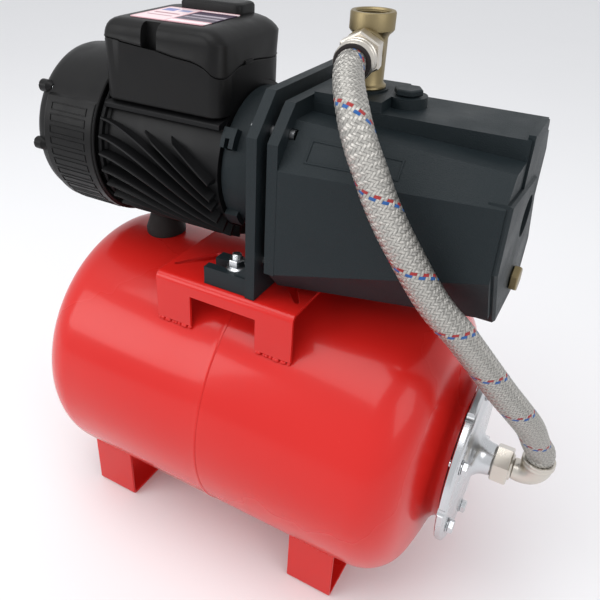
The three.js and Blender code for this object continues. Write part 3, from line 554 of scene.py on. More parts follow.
def makeTankFittings(x, e):
    c = (0, 0, tankZ)
    bm = bmesh.new()
    hexagon("x", c, x + 27.3, x + 42.2, 32, bm, 1.6)
    spun([(x + 42, 0), (x + 42, 12.5), (x + 43.4, 12.2), (x + 44, 11.4), (x + 44, 0)], "x", c, 40, bm)
    settle(bm, "tankHoseNut", "nickelPlate", ["tank_hose_nut"], sharp=28)
    turns = [2 * math.pi * k / e["around"] for k in range(e["around"])]
    rings = [[(x + d, r * math.cos(a), tankZ + r * math.sin(a)) for a in turns] for d, r in ((44.3, 9.4), (44.9, 10.1), (47, 10.3))]
    for k in range(e["steps"] + 1):  # a quarter bend that widens towards the hose
        t = math.pi / 2 * k / e["steps"]
        r = e["tube"] + (e["mouth"] - e["tube"]) * k / e["steps"]
        midX, midZ = e["x"] - e["bend"] * (1 - math.sin(t)), tankZ + e["bend"] * (1 - math.cos(t))
        rings.append([(midX - r * math.sin(a) * math.sin(t), r * math.cos(a), midZ + r * math.sin(a) * math.cos(t)) for a in turns])
    for up, out in ((15, -0.4), (15.8, 0), (17.4, 0), (18, -0.4), (18.8, -0.4), (19.4, 0), (21.1, 0), (21.8, -0.5)):  # grooved sleeve
        r = e["sleeve"] + out
        rings.append([(e["x"] - r * math.sin(a), r * math.cos(a), tankZ + up) for a in turns])
    settle(bridged(rings), "hoseElbow", "nickelPlate", ["hose_elbow"], sharp=40)


makeTankFittings(flange["x"], elbow)

# Air valve at the motor end


def makeValve():
    tip = tank["motorTangent"] - tank["motorDepth"]
    c = (0, 0, tankZ)
    bm = spun([(tip + 9, 0), (tip + 9, 4.7), (tip - 0.3, 4.7), (tip - 0.3, 11), (tip - 3, 11), (tip - 4, 10), (tip - 4, 4.6), (tip - 16, 4.3), (tip - 16, 0)], "x", c, 32)
    settle(bm, "airValve", "castBrass", ["air_valve"], sharp=35)
    profile = [(tip - 4.3, 5.1), (tip - 4.3, 8.4), (tip - 6, 8.5), (tip - 24.6, 8.2), (tip - 26, 7), (tip - 26, 0), (tip - 16.6, 0), (tip - 16.6, 5.1)]
    bm = bmesh.new()
    spun(profile, "x", c, 40, bm)
    settle(bm, "valveCap", "blackPlastic", ["air_valve_cap"], body="valve_cap", sharp=35, bevel=0.3)


makeValve()
print("tank end fittings turned")

# Motor frame with its swept fins
motor = {"from": -146, "to": -20.6, "bore": 58.3, "root": 67, "tip": 78, "fins": 9, "firstFin": 24, "finStep": 12, "sweep": 46, "shortFins": ((22, 0.36), (22, 0.6)), "steps": 14}


def finOutlines(m, start, t0, side):
    rings = []
    for i in range(m["steps"] + 1):
        t = t0 + (1 - t0) * i / m["steps"]
        angle = start - m["sweep"] * t ** 1.5 + m["sweep"] * t0 ** 1.5
        if angle < -84:
            break
        a = math.radians(angle)
        y, z = -side * math.cos(a), math.sin(a)
        ny, nz = side * math.sin(a), math.cos(a)
        x = m["from"] + 4 + (m["to"] - m["from"] - 7) * t
        section = [(m["root"] - 2, -2.2), (m["tip"] - 1.2, -1.2), (m["tip"] - 0.3, -0.8), (m["tip"], 0), (m["tip"] - 0.3, 0.8), (m["tip"] - 1.2, 1.2), (m["root"] - 2, 2.2)]
        if t0 and i < 3:  # the short fins start low and rise
            rise = (i + 0.6) / 3.6
            section = [(m["root"] - 2 + (r - m["root"] + 2) * rise, w) for r, w in section]
        rings.append([(x, r * y + w * ny, pumpZ + r * z + w * nz) for r, w in section])
    return rings


def makeMotor(m):
    bm = bmesh.new()
    x0, x1 = m["from"], m["to"]
    spun([(x0, m["bore"]), (x0, 73.2), (x0 + 0.8, 74), (x0 + 2.8, 74), (x0 + 3.7, 73), (x0 + 3.7, 69), (x0 + 5.5, m["root"]), (x1, m["root"]), (x1, m["bore"])], "x", (0, 0, pumpZ), 120, bm)
    for side in (1, -1):
        runs = [(m["firstFin"] - m["finStep"] * i, 0) for i in range(m["fins"])] + list(m["shortFins"])
        for start, t0 in runs:
            rings = finOutlines(m, start, t0, side)
            if len(rings) > 2:
                bridged(rings, bm)
    # the seat under the terminal box, with a ledge each side
    for sy in (-1, 1):
        seat = [(sy * 20, pumpZ + 62), (sy * 20, 467), (sy * 46, 462.6), (sy * 61.5, 459.4), (sy * 62.6, 458.4), (sy * 62.6, 455.2), (sy * 61.4, 454.6), (sy * 57, 455), (sy * 54, 449), (sy * 50, pumpZ + 30)]
        bridged([[(x, y, z) for y, z in seat] for x in (x0 + 3, x1 - 0.8)], bm)
    settle(bm, "motorFrame", "blackPaint", ["motor_frame"], sharp=38, recalc=True)


makeMotor(motor)
print("motor frame cast")

# Fan cover
fanCover = {"back": -222, "front": -147, "radius": 79, "wall": 2.4, "vents": 12, "ears": (142, 183, 270), "panelFrom": 146, "panelTo": 300, "slats": 19, "slatRise": 1.1}


def aboutX(x, radius, angle, z=pumpZ):
    a = math.radians(angle)
    return (x, radius * math.cos(a), z + radius * math.sin(a))


# A patch standing off a cylinder, from one angle to another.
def cylinderPatch(x0, x1, r0, r1, a0, a1, steps, bm, ease=0.8):
    rings = []
    for i in range(steps + 1):
        a = a0 + (a1 - a0) * i / steps
        edge = min(i, steps - i)
        top = r0 + (r1 - r0) * (0.35 if edge == 0 else 1)
        rings.append([aboutX(x0, r0 - 2, a), aboutX(x0, top - ease * 0.6, a), aboutX(x0 + ease, top, a), aboutX(x1 - ease, top, a), aboutX(x1, top - ease * 0.6, a), aboutX(x1, r0 - 2, a)])
    return bridged(rings, bm)


def makeFanCover(f):
    b, r, w = f["back"], f["radius"], f["wall"]
    outer = [(b, 0), (b, 40), (b, 69), (b + 0.8, 71.4), (b + 2.4, 73.8), (b + 5, 75.8), (b + 9, 77), (b + 14, 77.6), (b + 40, 78.3), (f["front"] - 1, r), (f["front"], r - 0.8)]
    inner = [(f["front"], r - w), (b + 14, 77.6 - w), (b + 7, 74), (b + 4, 71.6), (b + w, 68), (b + w, 0)]
    work = solid(spun(outer + inner, "x", (0, 0, pumpZ), 128))
    adds, cuts = [], []
    for angle in f["ears"]:
        c = aboutX(0, r * 0.965, angle)
        adds.append(solid(spun([(b + 1, 0), (b + 1, 5.2), (b + 2, 6), (b + 10, 6), (b + 15, 3), (b + 16, 0)], "x", c, 28)))
        cuts.append(solid(rod("x", c, b - 2, b + 16, 2.7, 20)))
        cuts.append(solid(rod("x", c, b - 5, b + 2.2, 4.8, 24)))
    for i in range(f["vents"]):
        a = i * 360 / f["vents"]
        n = math.radians(a)
        for radius in (24, 42, 60):
            span = 20 if radius < 30 else 22
            rings = []
            for x in (b - 3, b + 6):
                rings.append([aboutX(x, radius - 6, a - span / 3), aboutX(x, radius + 6, a - span / 4), aboutX(x, radius + 6, a + span / 4), aboutX(x, radius - 6, a + span / 3)])
            cuts.append(solid(bridged(rings)))
    work = shape(work, adds, "UNION")
    work = shape(work, cuts)
    named(work, "fanCover", "blackPlastic", ["fan_cover"], sharp=30, bevel=0.35)
    # raised panel round the lower half, with long pressed rectangles
    bm = bmesh.new()
    cylinderPatch(b + 15, f["front"] - 2, r - 1.6, r + 1.0, f["panelFrom"], f["panelTo"], 70, bm)
    start, end = f["panelFrom"] + 5, f["panelTo"] - 4
    each = (end - start) / f["slats"]
    for i in range(f["slats"]):
        a0 = start + each * (i + 0.12)
        a1 = start + each * (i + 0.88)
        for s0, s1 in ((a0, a0 + 1.1), (a1 - 1.1, a1)):
            cylinderPatch(b + 22, f["front"] - 10, r, r + 0.9 + f["slatRise"] * 0.7, s0, s1, 3, bm, 0.5)
        for s0, s1 in ((b + 22, b + 23.4), (f["front"] - 11.4, f["front"] - 10)):
            cylinderPatch(s0, s1, r, r + 0.9 + f["slatRise"] * 0.7, a0, a1, 8, bm, 0.4)
    settle(bm, "fanCoverPanel", "blackPlastic", sharp=30)
    for i, angle in enumerate(f["ears"]):
        c = aboutX(0, r * 0.965, angle)
        head = solid(spun([(b + 1.7, 0), (b + 1.7, 4), (b - 0.6, 4), (b - 1.3, 3.2), (b - 1.5, 1.6), (b - 1.5, 0)], "x", c, 32))
        cross = [solid(block(b - 3, b - 0.2, c[1] - 2.4, c[1] + 2.4, c[2] - 0.45, c[2] + 0.45)), solid(block(b - 3, b - 0.2, c[1] - 0.45, c[1] + 0.45, c[2] - 2.4, c[2] + 2.4))]
        head = shape(shape(head, cross), [solid(rod("x", c, b + 1, b + 16, 2.2, 20))], "UNION")
        named(head, "fanCoverScrew%d" % (i + 1), "galvanised", ["fan_cover_screw_%d" % (i + 1)], sharp=30)


makeFanCover(fanCover)
print("fan cover moulded")

# Terminal box
boxShape = {"x": (-142, -20), "y": (-62, 48), "bottom": 463, "radii": (10, 12, 26, 16), "recess": (-98, -82), "screwX": -90}


def roundedOutline(x0, x1, y0, y1, radii, z, steps=8):
    corners = ((x1, y0, -90, radii[1], -1, 1), (x1, y1, 0, radii[2], -1, -1), (x0, y1, 90, radii[3], 1, -1), (x0, y0, 180, radii[0], 1, 1))
    points = []
    for x, y, a0, r, sx, sy in corners:
        for i in range(steps + 1):
            a = math.radians(a0 + 90 * i / steps)
            points.append((x + sx * r + r * math.cos(a), y + sy * r + r * math.sin(a)))
    dense = []
    for p, q in zip(points, points[1:] + points[:1]):  # long sides get extra points so the parting line can wave
        count = max(1, int(math.dist(p, q) / 4))
        dense += [(p[0] + (q[0] - p[0]) * k / count, p[1] + (q[1] - p[1]) * k / count) for k in range(count)]
    return [(x, y, z(x, y) if callable(z) else z) for x, y in dense]


# Height of the wavy parting line at a point on the box's outside.
def parting(x, y):
    front = ((-142, 515.5), (-128, 514.5), (-106, 512.6), (-84, 510.8), (-66, 507.8), (-47, 506), (-38, 503.4), (-29, 498.5), (-20, 494))
    side = ((-62, 494), (-50, 495.4), (-42, 498), (-33, 500.8), (-21, 502), (-9, 501.8), (5, 500.2), (16, 498.6), (48, 497))
    along = lambda v, knots: float(np.interp(v, [k[0] for k in knots], [k[1] for k in knots]))
    toFront = max(0.0, min(1.0, (-50 - y) / 12))
    toSide = max(0.0, min(1.0, (x + 32) / 12))
    rest = 497 + 18 * max(0.0, min(1.0, (-40 - y) / 22)) if x < -120 else 497
    if toFront + toSide == 0:
        return rest
    return (along(x, front) * toFront + along(y, side) * toSide) / max(toFront + toSide, 1) + rest * max(0.0, 1 - toFront - toSide)


def makeTerminalBox(b):
    (x0, x1), (y0, y1) = b["x"], b["y"]
    r, (c0, c1), screwX = b["radii"], b["recess"], b["screwX"]
    inset = lambda d, z: roundedOutline(x0 + d, x1 - d, y0 + d, y1 - d, [v - d * 0.6 for v in r], z)
    # lower half
    rings = [inset(1.2, b["bottom"]), inset(0.3, b["bottom"] + 1), inset(0, b["bottom"] + 3), inset(0, lambda x, y: parting(x, y) - 1.0), inset(0.5, lambda x, y: parting(x, y) - 0.25)]
    work = solid(bridged(rings))
    hollow = solid(bridged([inset(3, b["bottom"] + 3), inset(3, 515)]))
    saddle = solid(rod("x", (0, 0, pumpZ), x0 - 5, x1 + 5, 70, 96))
    keep = solid(rod("x", (0, 0, pumpZ), x0 - 5, x1 + 5, 67.3, 96))
    hollow = shape(hollow, [saddle])
    glandHole = solid(rod("y", (-60, 0, 480), y1 - 6, y1 + 4, 8.3, 32))
    wireHole = solid(block(-98, -62, -10, 10, b["bottom"] - 1, 484))
    named(shape(work, [hollow, keep, glandHole, wireHole]), "terminalBoxBase", "blackPlastic", ["terminal_box_base"], sharp=34, bevel=0.25)
    # lid: straight sides, a rolled shoulder and a nearly flat top
    shoulder = []
    for front, side, z in ((0.4, 0.4, 519), (0.8, 2.2, 522), (1.6, 5.0, 525), (3.2, 9, 527.8), (6.0, 14, 529.8), (9.5, 19, 530.8), (13, 24, 531)):
        shoulder.append(roundedOutline(x0 + side * 0.6, x1 - side, y0 + front, y1 - side * 0.6, (max(10 - side * 0.2, 3), max(12 - side * 0.2, 3), 22, 14), z))
    rings = [inset(0.5, lambda x, y: parting(x, y) + 0.35), inset(-0.25, lambda x, y: parting(x, y) + 0.9), inset(-0.25, lambda x, y: parting(x, y) + 1.7), inset(0.1, lambda x, y: parting(x, y) + 2.4)] + shoulder
    work = solid(bridged(rings))
    hollow = solid(bridged([inset(3, 480), inset(3, 512), inset(8, 523), inset(22, 528)]))
    cuts = [hollow, solid(block(c0, c1, y0 - 2, y0 + 9, 499, 540)), solid(rod("z", (screwX, y0 + 5, 0), 488, 505, 2.6))]
    work = shape(work, cuts[:1])
    wall = solid(block(c0 - 2.5, c1 + 2.5, y0 + 1.5, y0 + 11.5, 496.5, 524))
    hump = solid(bridged([roundedOutline(-112 + d, -48 - d, 12 + d, 40 - d, (5, 5, 5, 5), z, 5) for d, z in ((0, 525), (0, 536.5), (0.8, 538.6), (2.4, 539.7), (5, 540))]))
    work = shape(work, [wall, hump], "UNION")
    work = shape(work, cuts[1:])
    named(work, "terminalBoxLid", "blackPlastic", ["terminal_box_lid"], sharp=34, bevel=0.3)
    # small tab on the pump side and the screw in its recess
    bm = block(x1 - 0.6, x1 + 1.6, -26, -14, 501, 504)
    settle(bm, "boxTab", "blackPlastic", sharp=30, bevel=0.4)
    c = (screwX, y0 + 5, 0)
    head = solid(spun([(499.3, 0), (499.3, 3.9), (501.2, 3.9), (502.2, 3.1), (502.5, 0)], "z", c, 32))
    cross = [solid(block(screwX - 2.2, screwX + 2.2, y0 + 4.5, y0 + 5.5, 501.6, 504)), solid(block(screwX - 0.5, screwX + 0.5, y0 + 2.8, y0 + 7.2, 501.6, 504))]
    head = shape(shape(head, cross), [solid(rod("z", c, 478, 499.8, 2, 20))], "UNION")
    named(head, "boxScrew", "galvanised", ["box_lid_screw"], sharp=30)
    # cable gland at the back
    g = (-60, 0, 480)
    bm = spun([(y1 - 6, 4.6), (y1 - 6, 8), (y1 + 0.6, 8), (y1 + 0.6, 4.6)], "y", g, 40)
    gland = spun([(y1 + 0.6, 4.6), (y1 + 0.6, 10.4), (y1 + 1.4, 11.2), (y1 + 7, 11.2), (y1 + 8, 10.2), (y1 + 10.4, 8.6), (y1 + 12, 7.2), (y1 + 12, 4.6)], "y", g, 12, bm)
    settle(gland, "cableGland", "blackPlastic", ["cable_gland"], sharp=28, bevel=0.3)


makeTerminalBox(boxShape)
print("terminal box closed")

# Bracket between motor and pump
bracket = {"plateFrom": 22, "plateTo": 31, "half": 91, "top": 496, "shoulder": 466, "flat": 63, "foot": (-21, 31, 58, 89), "slotTo": 9, "slotHalf": 5.2, "boltX": 4.5, "boltY": 75.4}
bodyBolts = ((67, 466), (-67, 466), (73, 356), (-73, 356))  # y and z of each


def makeBracket(b):
    c = (0, 0, pumpZ)
    h, s, t, f = b["half"], b["shoulder"], b["top"], b["flat"]
    bell = solid(spun([(-20, 58.3), (-20, 62), (-19, 63), (-7, 63), (-2, 62.4), (4, 61.2), (14, 60), (24, 60), (24, 52), (-4, 52), (-4, 24), (-2, 24), (-2, 17.3), (-18.4, 17.3), (-18.4, 24), (-12, 24), (-12, 58.3)], "x", c, 96))
    outline = mirrored([(46, 336), (52, 324), (h, 324), (h, s), (f, t)])
    plate = solid(slab(outline, "x", b["plateFrom"], b["plateTo"]))
    adds = [plate]
    x0, x1, y0, y1 = b["foot"]
    for sy in (-1, 1):
        ya, yb = sorted((sy * y0, sy * y1))
        adds.append(solid(block(x0, x1, ya, yb, 324, 341)))
        rib = [(-4, 330), (26, 330), (26, 366), (20, 352), (12, 343)]
        adds.append(solid(slab(rib, "y", *sorted((sy * 80, sy * 88)))))
        # lug on the bell's rim with a notch in it, and a lower one
        for angle, reach in ((30, 71), (-38, 68)):
            a = math.radians(angle if sy > 0 else 180 - angle)
            rings = []
            for x in (-19.4, -7):
                rings.append([(x, r * math.cos(a + w), pumpZ + r * math.sin(a + w)) for r, w in ((58, -0.15), (reach, -0.12), (reach + 0.5, 0), (reach, 0.12), (58, 0.15))])
            adds.append(solid(bridged(rings)))
    work = shape(bell, adds, "UNION")
    cuts = []
    for sy in (-1, 1):
        y = sy * b["boltY"]
        cuts.append(solid(slab([(-40, y - b["slotHalf"]), (b["slotTo"] - b["slotHalf"], y - b["slotHalf"])] + arc(b["slotTo"] - b["slotHalf"], y, b["slotHalf"], -90, 90, 10) + [(-40, y + b["slotHalf"])], "z", 315, 345)))
        a = math.radians(30 if sy > 0 else 150)
        cuts.append(solid(block(-15.5, -11.5, 71 * math.cos(a) - 5, 71 * math.cos(a) + 5, pumpZ + 71 * math.sin(a) - 12, pumpZ + 71 * math.sin(a) - 0.5)))
    cuts.append(solid(rod("x", c, 20, 33, 14.3, 48)))
    for y, z in bodyBolts:
        cuts.append(solid(rod("x", (0, y, z), 18, 34, 4.5)))
    named(shape(work, cuts), "pumpBracket", "slateCasting", ["pump_bracket"], sharp=28, bevel=1.5, steps=3)


makeBracket(bracket)
print("bracket cast")

# Pump body
body = {
    "from": 38.3, "to": 212, "endPlate": 216, "drainZ": 361, "plugX": 112,
    "start": ((72, 334), (88, 352), (88, 443), (60, 476), (33.5, 476), (33.5, 483)),
    "end": ((33, 345), (62, 393), (62, 449), (49, 468), (30, 468), (30, 483), (-33.5, 483), (-33.5, 468), (-62, 468), (-79, 449), (-79, 393), (-46, 345)),
}


def makeBody(b):
    c = (0, 0, pumpZ)
    x0, x1 = b["from"], b["to"]
    start, end = mirrored(list(b["start"])), list(b["end"])
    ring = lambda t: [(x0 + 5 + (x1 - x0 - 5) * t, p[0] + (q[0] - p[0]) * t, p[1] + (q[1] - p[1]) * t) for p, q in zip(start, end)]
    work = solid(bridged([ring(t) for t in (0, 0.25, 0.5, 0.75, 1)]))
    flangeRing = mirrored([(62, 336), (88, 352), (88, 463), (62, 489)])
    lower = [(48, 336), (56, 372), (12, 444), (-78, 452), (-78, 400), (-34, 336)]
    shrink = lambda pts, k: [(y * k, 400 + (z - 400) * k) for y, z in pts]
    adds = [
        solid(slab(flangeRing, "x", x0, x0 + 9)),
        solid(slab([(y, z) for y, z in arc(14, 476, 10, 90, 0, 6) + arc(14, 448, 10, 0, -90, 6) + [(-31, 438), (-31, 486)]], "x", x1 - 3, x1 + 2)),
        solid(bridged([[(x, y, z) for y, z in pts] for x, pts in ((x1 - 12, lower), (b["endPlate"] - 2, lower), (b["endPlate"], shrink(lower, 0.97)))])),
        solid(bridged([[(x, y, z) for x, y in pts] for z, pts in ((470, [(46, -33.5), (105, -33.5), (105, 33.5), (46, 33.5)]), (491, [(48, -32.6), (103, -32.6), (103, 32.6), (48, 32.6)]))])),
        solid(spun([(470, 0), (470, 16), (491, 15), (491, 0)], "z", (b["plugX"], 0, 0), 56)),
        solid(rod("z", (77, 0, 0), 480, 492.4, 17.5, 48)),
    ]
    work = shape(work, adds, "UNION")
    hollowStart = mirrored([(58, 350), (76, 362), (76, 438), (54, 464)])
    hollowEnd = [(26, 366), (51, 398), (51, 442), (40, 456), (-53, 456), (-68, 442), (-68, 398), (-38, 366)]
    cuts = [
        solid(spun([(x0 - 1, 0), (x0 - 1, 60), (70, 60), (70, 0)], "x", c, 72)),
        solid(bridged([[(60, y, z) for y, z in hollowStart], [(203, y, z) for y, z in hollowEnd]])),
        solid(rod("x", c, 200, b["endPlate"] + 6, 16.6, 48)),
        solid(rod("z", (77, 0, 0), 460, 495, 12, 40)),
        solid(rod("z", (b["plugX"], 0, 0), 445, 495, 6.6, 24)),
        solid(rod("x", (0, 0, b["drainZ"]), 180, b["endPlate"] + 2, 6.6, 24)),
    ]
    for y, z in bodyBolts:
        cuts.append(solid(rod("x", (0, y, z), x0 - 1, x0 + 14, 4.5)))
    named(shape(work, cuts), "pumpBody", "slateCasting", ["pump_body"], sharp=24, bevel=1.8, steps=3)
    # raised rectangle on the sloping front face
    s, e = b["start"], b["end"]
    low0, high0, low1, high1 = Vector((x0 + 5, -s[2][0], s[2][1])), Vector((x0 + 5, -s[3][0], s[3][1])), Vector((x1, *e[9])), Vector((x1, *e[8]))
    onSlope = lambda u, v: low0.lerp(low1, u).lerp(high0.lerp(high1, u), v)
    normal = (low1 - low0).cross(high0 - low0).normalized()
    if normal.y > 0:
        normal.negate()
    bm = bmesh.new()
    frameAt = [(0.13, 0.23), (0.56, 0.23), (0.56, 0.72), (0.13, 0.72)]
    inner = [(0.142, 0.28), (0.548, 0.28), (0.548, 0.67), (0.142, 0.67)]
    for k in range(4):
        quad = [frameAt[k], frameAt[(k + 1) % 4], inner[(k + 1) % 4], inner[k]]
        bottom = [onSlope(u, v) - normal * 0.6 for u, v in quad]
        topMid = [onSlope(u, v) + normal * 0.75 for u, v in quad]
        bridged([[tuple(p) for p in bottom], [tuple(p) for p in topMid]], bm)
    settle(bm, "bodyFrame", "slateCasting", sharp=40, bevel=0.5)


makeBody(body)
print("pump body cast")

# Bolts that hold bracket, body and feet


def makeBolts(b):
    for name, sy in (("front", -1), ("rear", 1)):
        c = (b["boltX"], sy * b["boltY"], 0)
        bm = hexagon("z", c, 314.7, 320.4, 13)
        rod("z", c, 319, 354.4, 4, 32, bm)
        spun([(354.2, 0), (354.2, 4), (355, 3.2), (355, 0)], "z", c, 32, bm)
        for k in range(9):  # thread above the nut
            z = 350.1 + k * 0.5
            spun([(z, 3.6), (z, 4.02), (z + 0.25, 4.22), (z + 0.5, 4.02), (z + 0.5, 3.6)], "z", c, 28, bm)
        settle(bm, "footBolt" + name.title(), "galvanised", ["foot_bolt_" + name], sharp=28)
        bm = bmesh.new()
        hexagon("z", c, 342.6, 350, 13, bm, 0.7)
        spun([(341.3, 4.6), (341.3, 9.6), (342.2, 9.4), (343.4, 7.2), (343.4, 4.6)], "z", c, 48, bm)
        settle(bm, "footNut" + name.title(), "galvanised", ["foot_nut_" + name], sharp=28)
    for i, (y, z) in enumerate(bodyBolts):
        bm = hexagon("x", (0, y, z), 15, 21.6, 13)
        rod("x", (0, y, z), 21, 51, 4, 24, bm)
        settle(bm, "bodyBolt%d" % (i + 1), "galvanised", ["body_bolt_%d" % (i + 1)], sharp=28)


makeBolts(bracket)
print("bolts in")

# Outlet tee, hose nut and ferrule, plugs
tee = {"x": 77, "top": 549, "branch": 525, "swing": 9, "droop": 4}


def makeTee(t, plugX, drainZ):
    c, b = (t["x"], 0, 0), (t["x"], 0, t["branch"])
    top = t["top"]
    turned = Matrix.Rotation(math.radians(t["swing"]), 3, "Z") @ Matrix.Rotation(math.radians(t["droop"]), 3, "X")

    def swung(bm):  # the branch isn't quite square to the pump
        bmesh.ops.rotate(bm, verts=bm.verts, cent=at(*b), matrix=turned)
        return bm

    work = solid(spun([(482, 0), (482, 11.5), (492.4, 11.5), (492.4, 14.9), (493.4, 15.5), (494.6, 15.2), (495.6, 13.8), (497, 13), (530, 13), (532.4, 14), (534.6, 16.4), (536, 17.3), (top - 1.2, 17.3), (top, 16.6), (top, 0)], "z", c, 72))
    arm = solid(swung(spun([(0, 0), (0, 12.8), (-15.5, 12.8), (-17, 14), (-17.8, 15.5), (-22.6, 15.8), (-24, 15.1), (-24, 0)], "y", b, 72)))
    work = shape(work, [arm], "UNION")
    bore = spun([(480, 0), (480, 8.5), (top - 15, 8.5), (top - 14, 12.6), (top - 1.4, 12.8), (top + 0.5, 14.2), (top + 1, 0)], "z", c, 56)
    named(shape(work, [solid(bore), solid(swung(rod("y", b, -30, 0, 8.5, 40)))]), "outletTee", "castBrass", ["outlet_tee"], sharp=32, bevel=0.5, steps=2)
    bm = bmesh.new()
    for k in range(7):  # thread rings inside the mouth
        z = top - 12.6 + k * 1.6
        spun([(z, 12.9), (z, 12.5), (z + 0.5, 11.9), (z + 1, 12.5), (z + 1, 12.9)], "z", c, 56, bm)
    settle(bm, "teeThread", "castBrass", sharp=60)
    bm = bmesh.new()
    hexagon("y", b, -35.4, -24.3, 30, bm, 1.5)
    spun([(-35.2, 9), (-35.2, 13.6), (-36.6, 13.4), (-37.4, 12.6), (-37.4, 9)], "y", b, 48, bm)
    settle(swung(bm), "hoseNut", "nickelPlate", ["hose_nut"], sharp=28)
    bm = spun([(-37.5, 7), (-37.5, 13), (-38.6, 14.2), (-40.6, 14.8), (-42.2, 14.8), (-42.8, 14.2), (-43.8, 14.2), (-44.4, 14.8), (-47.6, 14.8), (-48.2, 14.3), (-49.2, 14.3), (-49.8, 14.8), (-52.6, 14.6), (-54, 13.8), (-54, 7)], "y", b, 72)
    settle(swung(bm), "hoseFerrule", "nickelPlate", ["hose_ferrule"], sharp=32)
    bm = spun([(-53.9, 11), (-53.9, 13.2), (-54.4, 13.7), (-55.4, 13.7), (-55.9, 13.2), (-55.9, 11)], "y", b, 64)
    settle(swung(bm), "hoseSealRing", "blackRubber", sharp=60)
    bm = hexagon("z", (plugX, 0, 0), 491.3, 496.5, 20, None, 1.3)
    rod("z", (plugX, 0, 0), 478, 491.6, 6.2, 28, bm)
    settle(bm, "primingPlug", "slateCasting", ["priming_plug"], body="priming", sharp=28, bevel=0.4)
    bm = hexagon("x", (0, 0, drainZ), 216.3, 222.5, 19, None, 1.1)
    rod("x", (0, 0, drainZ), 202, 217, 6.2, 28, bm)
    settle(bm, "drainPlug", "castBrass", ["drain_plug"], body="drain", sharp=28, bevel=0.3)


makeTee(tee, body["plugX"], body["drainZ"])
print("tee and plugs turned")

# Label on the box lid, with plain blocks and no lettering
label = {"x": (-121, -46), "y": (-47, 11), "z": 531.25, "thick": 0.5, "corner": 3}


def labelMaterial(l):
    material = bpy.data.materials.new("printedLabel")
    material.use_nodes = True
    tree = material.node_tree
    make, link = tree.nodes.new, tree.links.new
    shader = tree.nodes["Principled BSDF"]
    place = make("ShaderNodeTexCoord")
    split = make("ShaderNodeSeparateXYZ")
    link(place.outputs["Object"], split.inputs[0])

    def between(socket, low, high):  # 1 inside the range, in metres
        n = make("ShaderNodeMath")
        n.operation = "COMPARE"
        link(socket, n.inputs[0])
        n.inputs[1].default_value, n.inputs[2].default_value = (low + high) / 2, (high - low) / 2
        return n.outputs[0]

    def both(p, q):
        n = make("ShaderNodeMath")
        n.operation = "MULTIPLY"
        link(p, n.inputs[0])
        link(q, n.inputs[1])
        return n.outputs[0]

    x, y = split.outputs["X"], split.outputs["Y"]
    grain = make("ShaderNodeTexNoise")
    grain.inputs["Scale"].default_value = 90
    link(place.outputs["Object"], grain.inputs["Vector"])
    base = make("ShaderNodeMix")
    base.data_type = "RGBA"
    base.inputs["A"].default_value, base.inputs["B"].default_value = (0.62, 0.33, 0.37, 1), (0.72, 0.42, 0.46, 1)
    link(grain.outputs["Fac"], base.inputs["Factor"])
    colour = base.outputs["Result"]
    blocks = [
        (-119, -86, -45, 9, (0.78, 0.62, 0.64)), (-84, -43, -34, 4, (0.05, 0.03, 0.06)), (-81, -47, -14, -9, (0.42, 0.36, 0.42)), (-81, -47, -24, -20, (0.3, 0.25, 0.3)),
        (-117, -104, -8, 4, (0.12, 0.14, 0.4)), (-101, -89, -6, 2, (0.3, 0.32, 0.5)), (-116, -90, -20, -16, (0.35, 0.12, 0.16)), (-116, -90, -30, -27, (0.4, 0.18, 0.22)), (-84, -43, 5.5, 8.5, (0.86, 0.8, 0.8)), (-84, -43, -44, -37, (0.8, 0.72, 0.74)),
    ]
    for a, b, c, d, dye in blocks:
        inside = both(between(x, (a + seamX) / 1000, (b + seamX) / 1000), between(y, c / 1000, d / 1000))
        mix = make("ShaderNodeMix")
        mix.data_type = "RGBA"
        link(inside, mix.inputs["Factor"])
        link(colour, mix.inputs["A"])
        mix.inputs["B"].default_value = (*dye, 1)
        colour = mix.outputs["Result"]
    link(colour, shader.inputs["Base Color"])
    gloss = make("ShaderNodeMapRange")
    gloss.inputs["To Min"].default_value, gloss.inputs["To Max"].default_value = 0.25, 0.4
    link(grain.outputs["Fac"], gloss.inputs["Value"])
    link(gloss.outputs["Result"], shader.inputs["Roughness"])
    return material


looks["label"] = labelMaterial(label)


def makeLabel(l):
    (x0, x1), (y0, y1) = l["x"], l["y"]
    rings = [roundedOutline(x0, x1, y0, y1, (l["corner"],) * 4, z) for z in (l["z"], l["z"] + l["thick"])]
    settle(bridged(rings), "ratingLabel", "label", ["rating_label"], sharp=40)


makeLabel(label)
print("label laid")

# Inner pieces keep their own shape and take a finish
insides = {
    "blackRubber": ["bladder", "seal_rotating"],
    "laminations": ["stator_core", "rotor_core"],
    "copperWire": ["stator_winding"],
    "groundSteel": ["rotor_shaft", "bearing_rear", "bearing_front"],
    "blackPaint": ["rear_end_shield"],
    "palePlastic": ["cooling_fan", "run_capacitor", "seal_seat", "diffuser", "venturi_tube"],
    "castBrass": ["impeller", "ejector_nozzle"],
}
for look, names in insides.items():
    for name in names:
        piece = nodes[name]
        piece.data.materials.clear()
        piece.data.materials.append(looks[look])
        for face in piece.data.polygons:
            face.use_smooth = True
        piece.data.set_sharp_from_angle(angle=math.radians(35))
        edge = piece.modifiers.new("edges", "BEVEL")
        edge.width, edge.segments, edge.limit_method, edge.angle_limit = 0.0003, 2, "ANGLE", math.radians(35)
print("inner pieces finished")

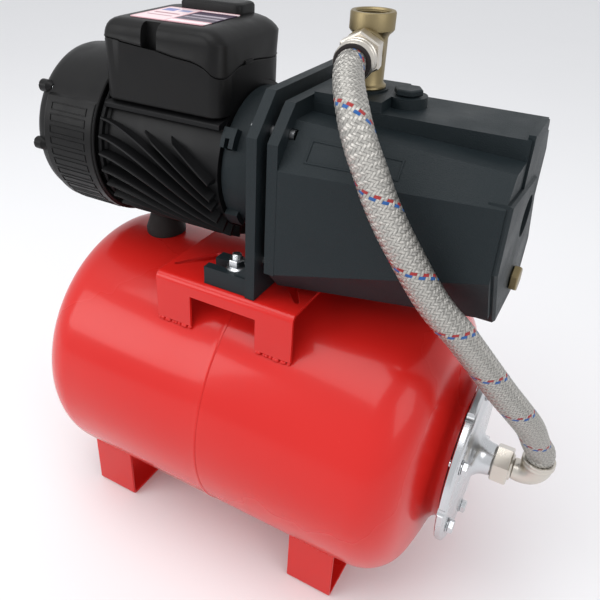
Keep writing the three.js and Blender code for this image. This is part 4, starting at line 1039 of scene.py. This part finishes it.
# Floor and light
studio = {
    "floor": (0.86, 0.86, 0.87), "world": 0.86, "size": 6,
    "lamps": {
        "topSoft": {"place": (-0.3, -0.5, 1.9), "aim": (0, 0, 0.35), "size": 1.4, "watts": 15},
        "frontLeft": {"place": (-1.3, -1.5, 1.1), "aim": (0, 0, 0.3), "size": 1.0, "watts": 10},
        "right": {"place": (1.6, -0.6, 1.2), "aim": (0.1, 0, 0.4), "size": 1.0, "watts": 6},
    },
}


def makeStudio(s):
    bm = bmesh.new()
    bmesh.ops.create_grid(bm, x_segments=1, y_segments=1, size=s["size"])
    mesh = bpy.data.meshes.new("floor")
    bm.to_mesh(mesh)
    bm.free()
    floor = bpy.data.objects.new("floor", mesh)
    bpy.context.scene.collection.objects.link(floor)
    material = bpy.data.materials.new("floorPaper")
    material.use_nodes = True
    tree = material.node_tree
    shader = tree.nodes["Principled BSDF"]
    place, noise, mix = tree.nodes.new("ShaderNodeTexCoord"), tree.nodes.new("ShaderNodeTexNoise"), tree.nodes.new("ShaderNodeMix")
    noise.inputs["Scale"].default_value = 3
    mix.data_type = "RGBA"
    mix.inputs["A"].default_value = (*s["floor"], 1)
    mix.inputs["B"].default_value = (*[v * 0.985 for v in s["floor"]], 1)
    tree.links.new(place.outputs["Object"], noise.inputs["Vector"])
    tree.links.new(noise.outputs["Fac"], mix.inputs["Factor"])
    tree.links.new(mix.outputs["Result"], shader.inputs["Base Color"])
    shader.inputs["Roughness"].default_value = 0.9
    floor.data.materials.append(material)
    world = bpy.data.worlds.new("room")
    bpy.context.scene.world = world
    world.use_nodes = True
    back = world.node_tree.nodes["Background"]
    back.inputs["Color"].default_value = (0.94, 0.95, 0.97, 1)
    back.inputs["Strength"].default_value = s["world"]
    for name, lamp in s["lamps"].items():
        data = bpy.data.lights.new(name, "AREA")
        data.shape, data.size, data.energy = "SQUARE", lamp["size"], lamp["watts"]
        light = bpy.data.objects.new(name, data)
        bpy.context.scene.collection.objects.link(light)
        spot, aim = Vector(lamp["place"]), Vector(lamp["aim"])
        light.matrix_world = Matrix.Translation(spot) @ (spot - aim).to_track_quat("Z", "Y").to_matrix().to_4x4()


makeStudio(studio)
print("studio lit")
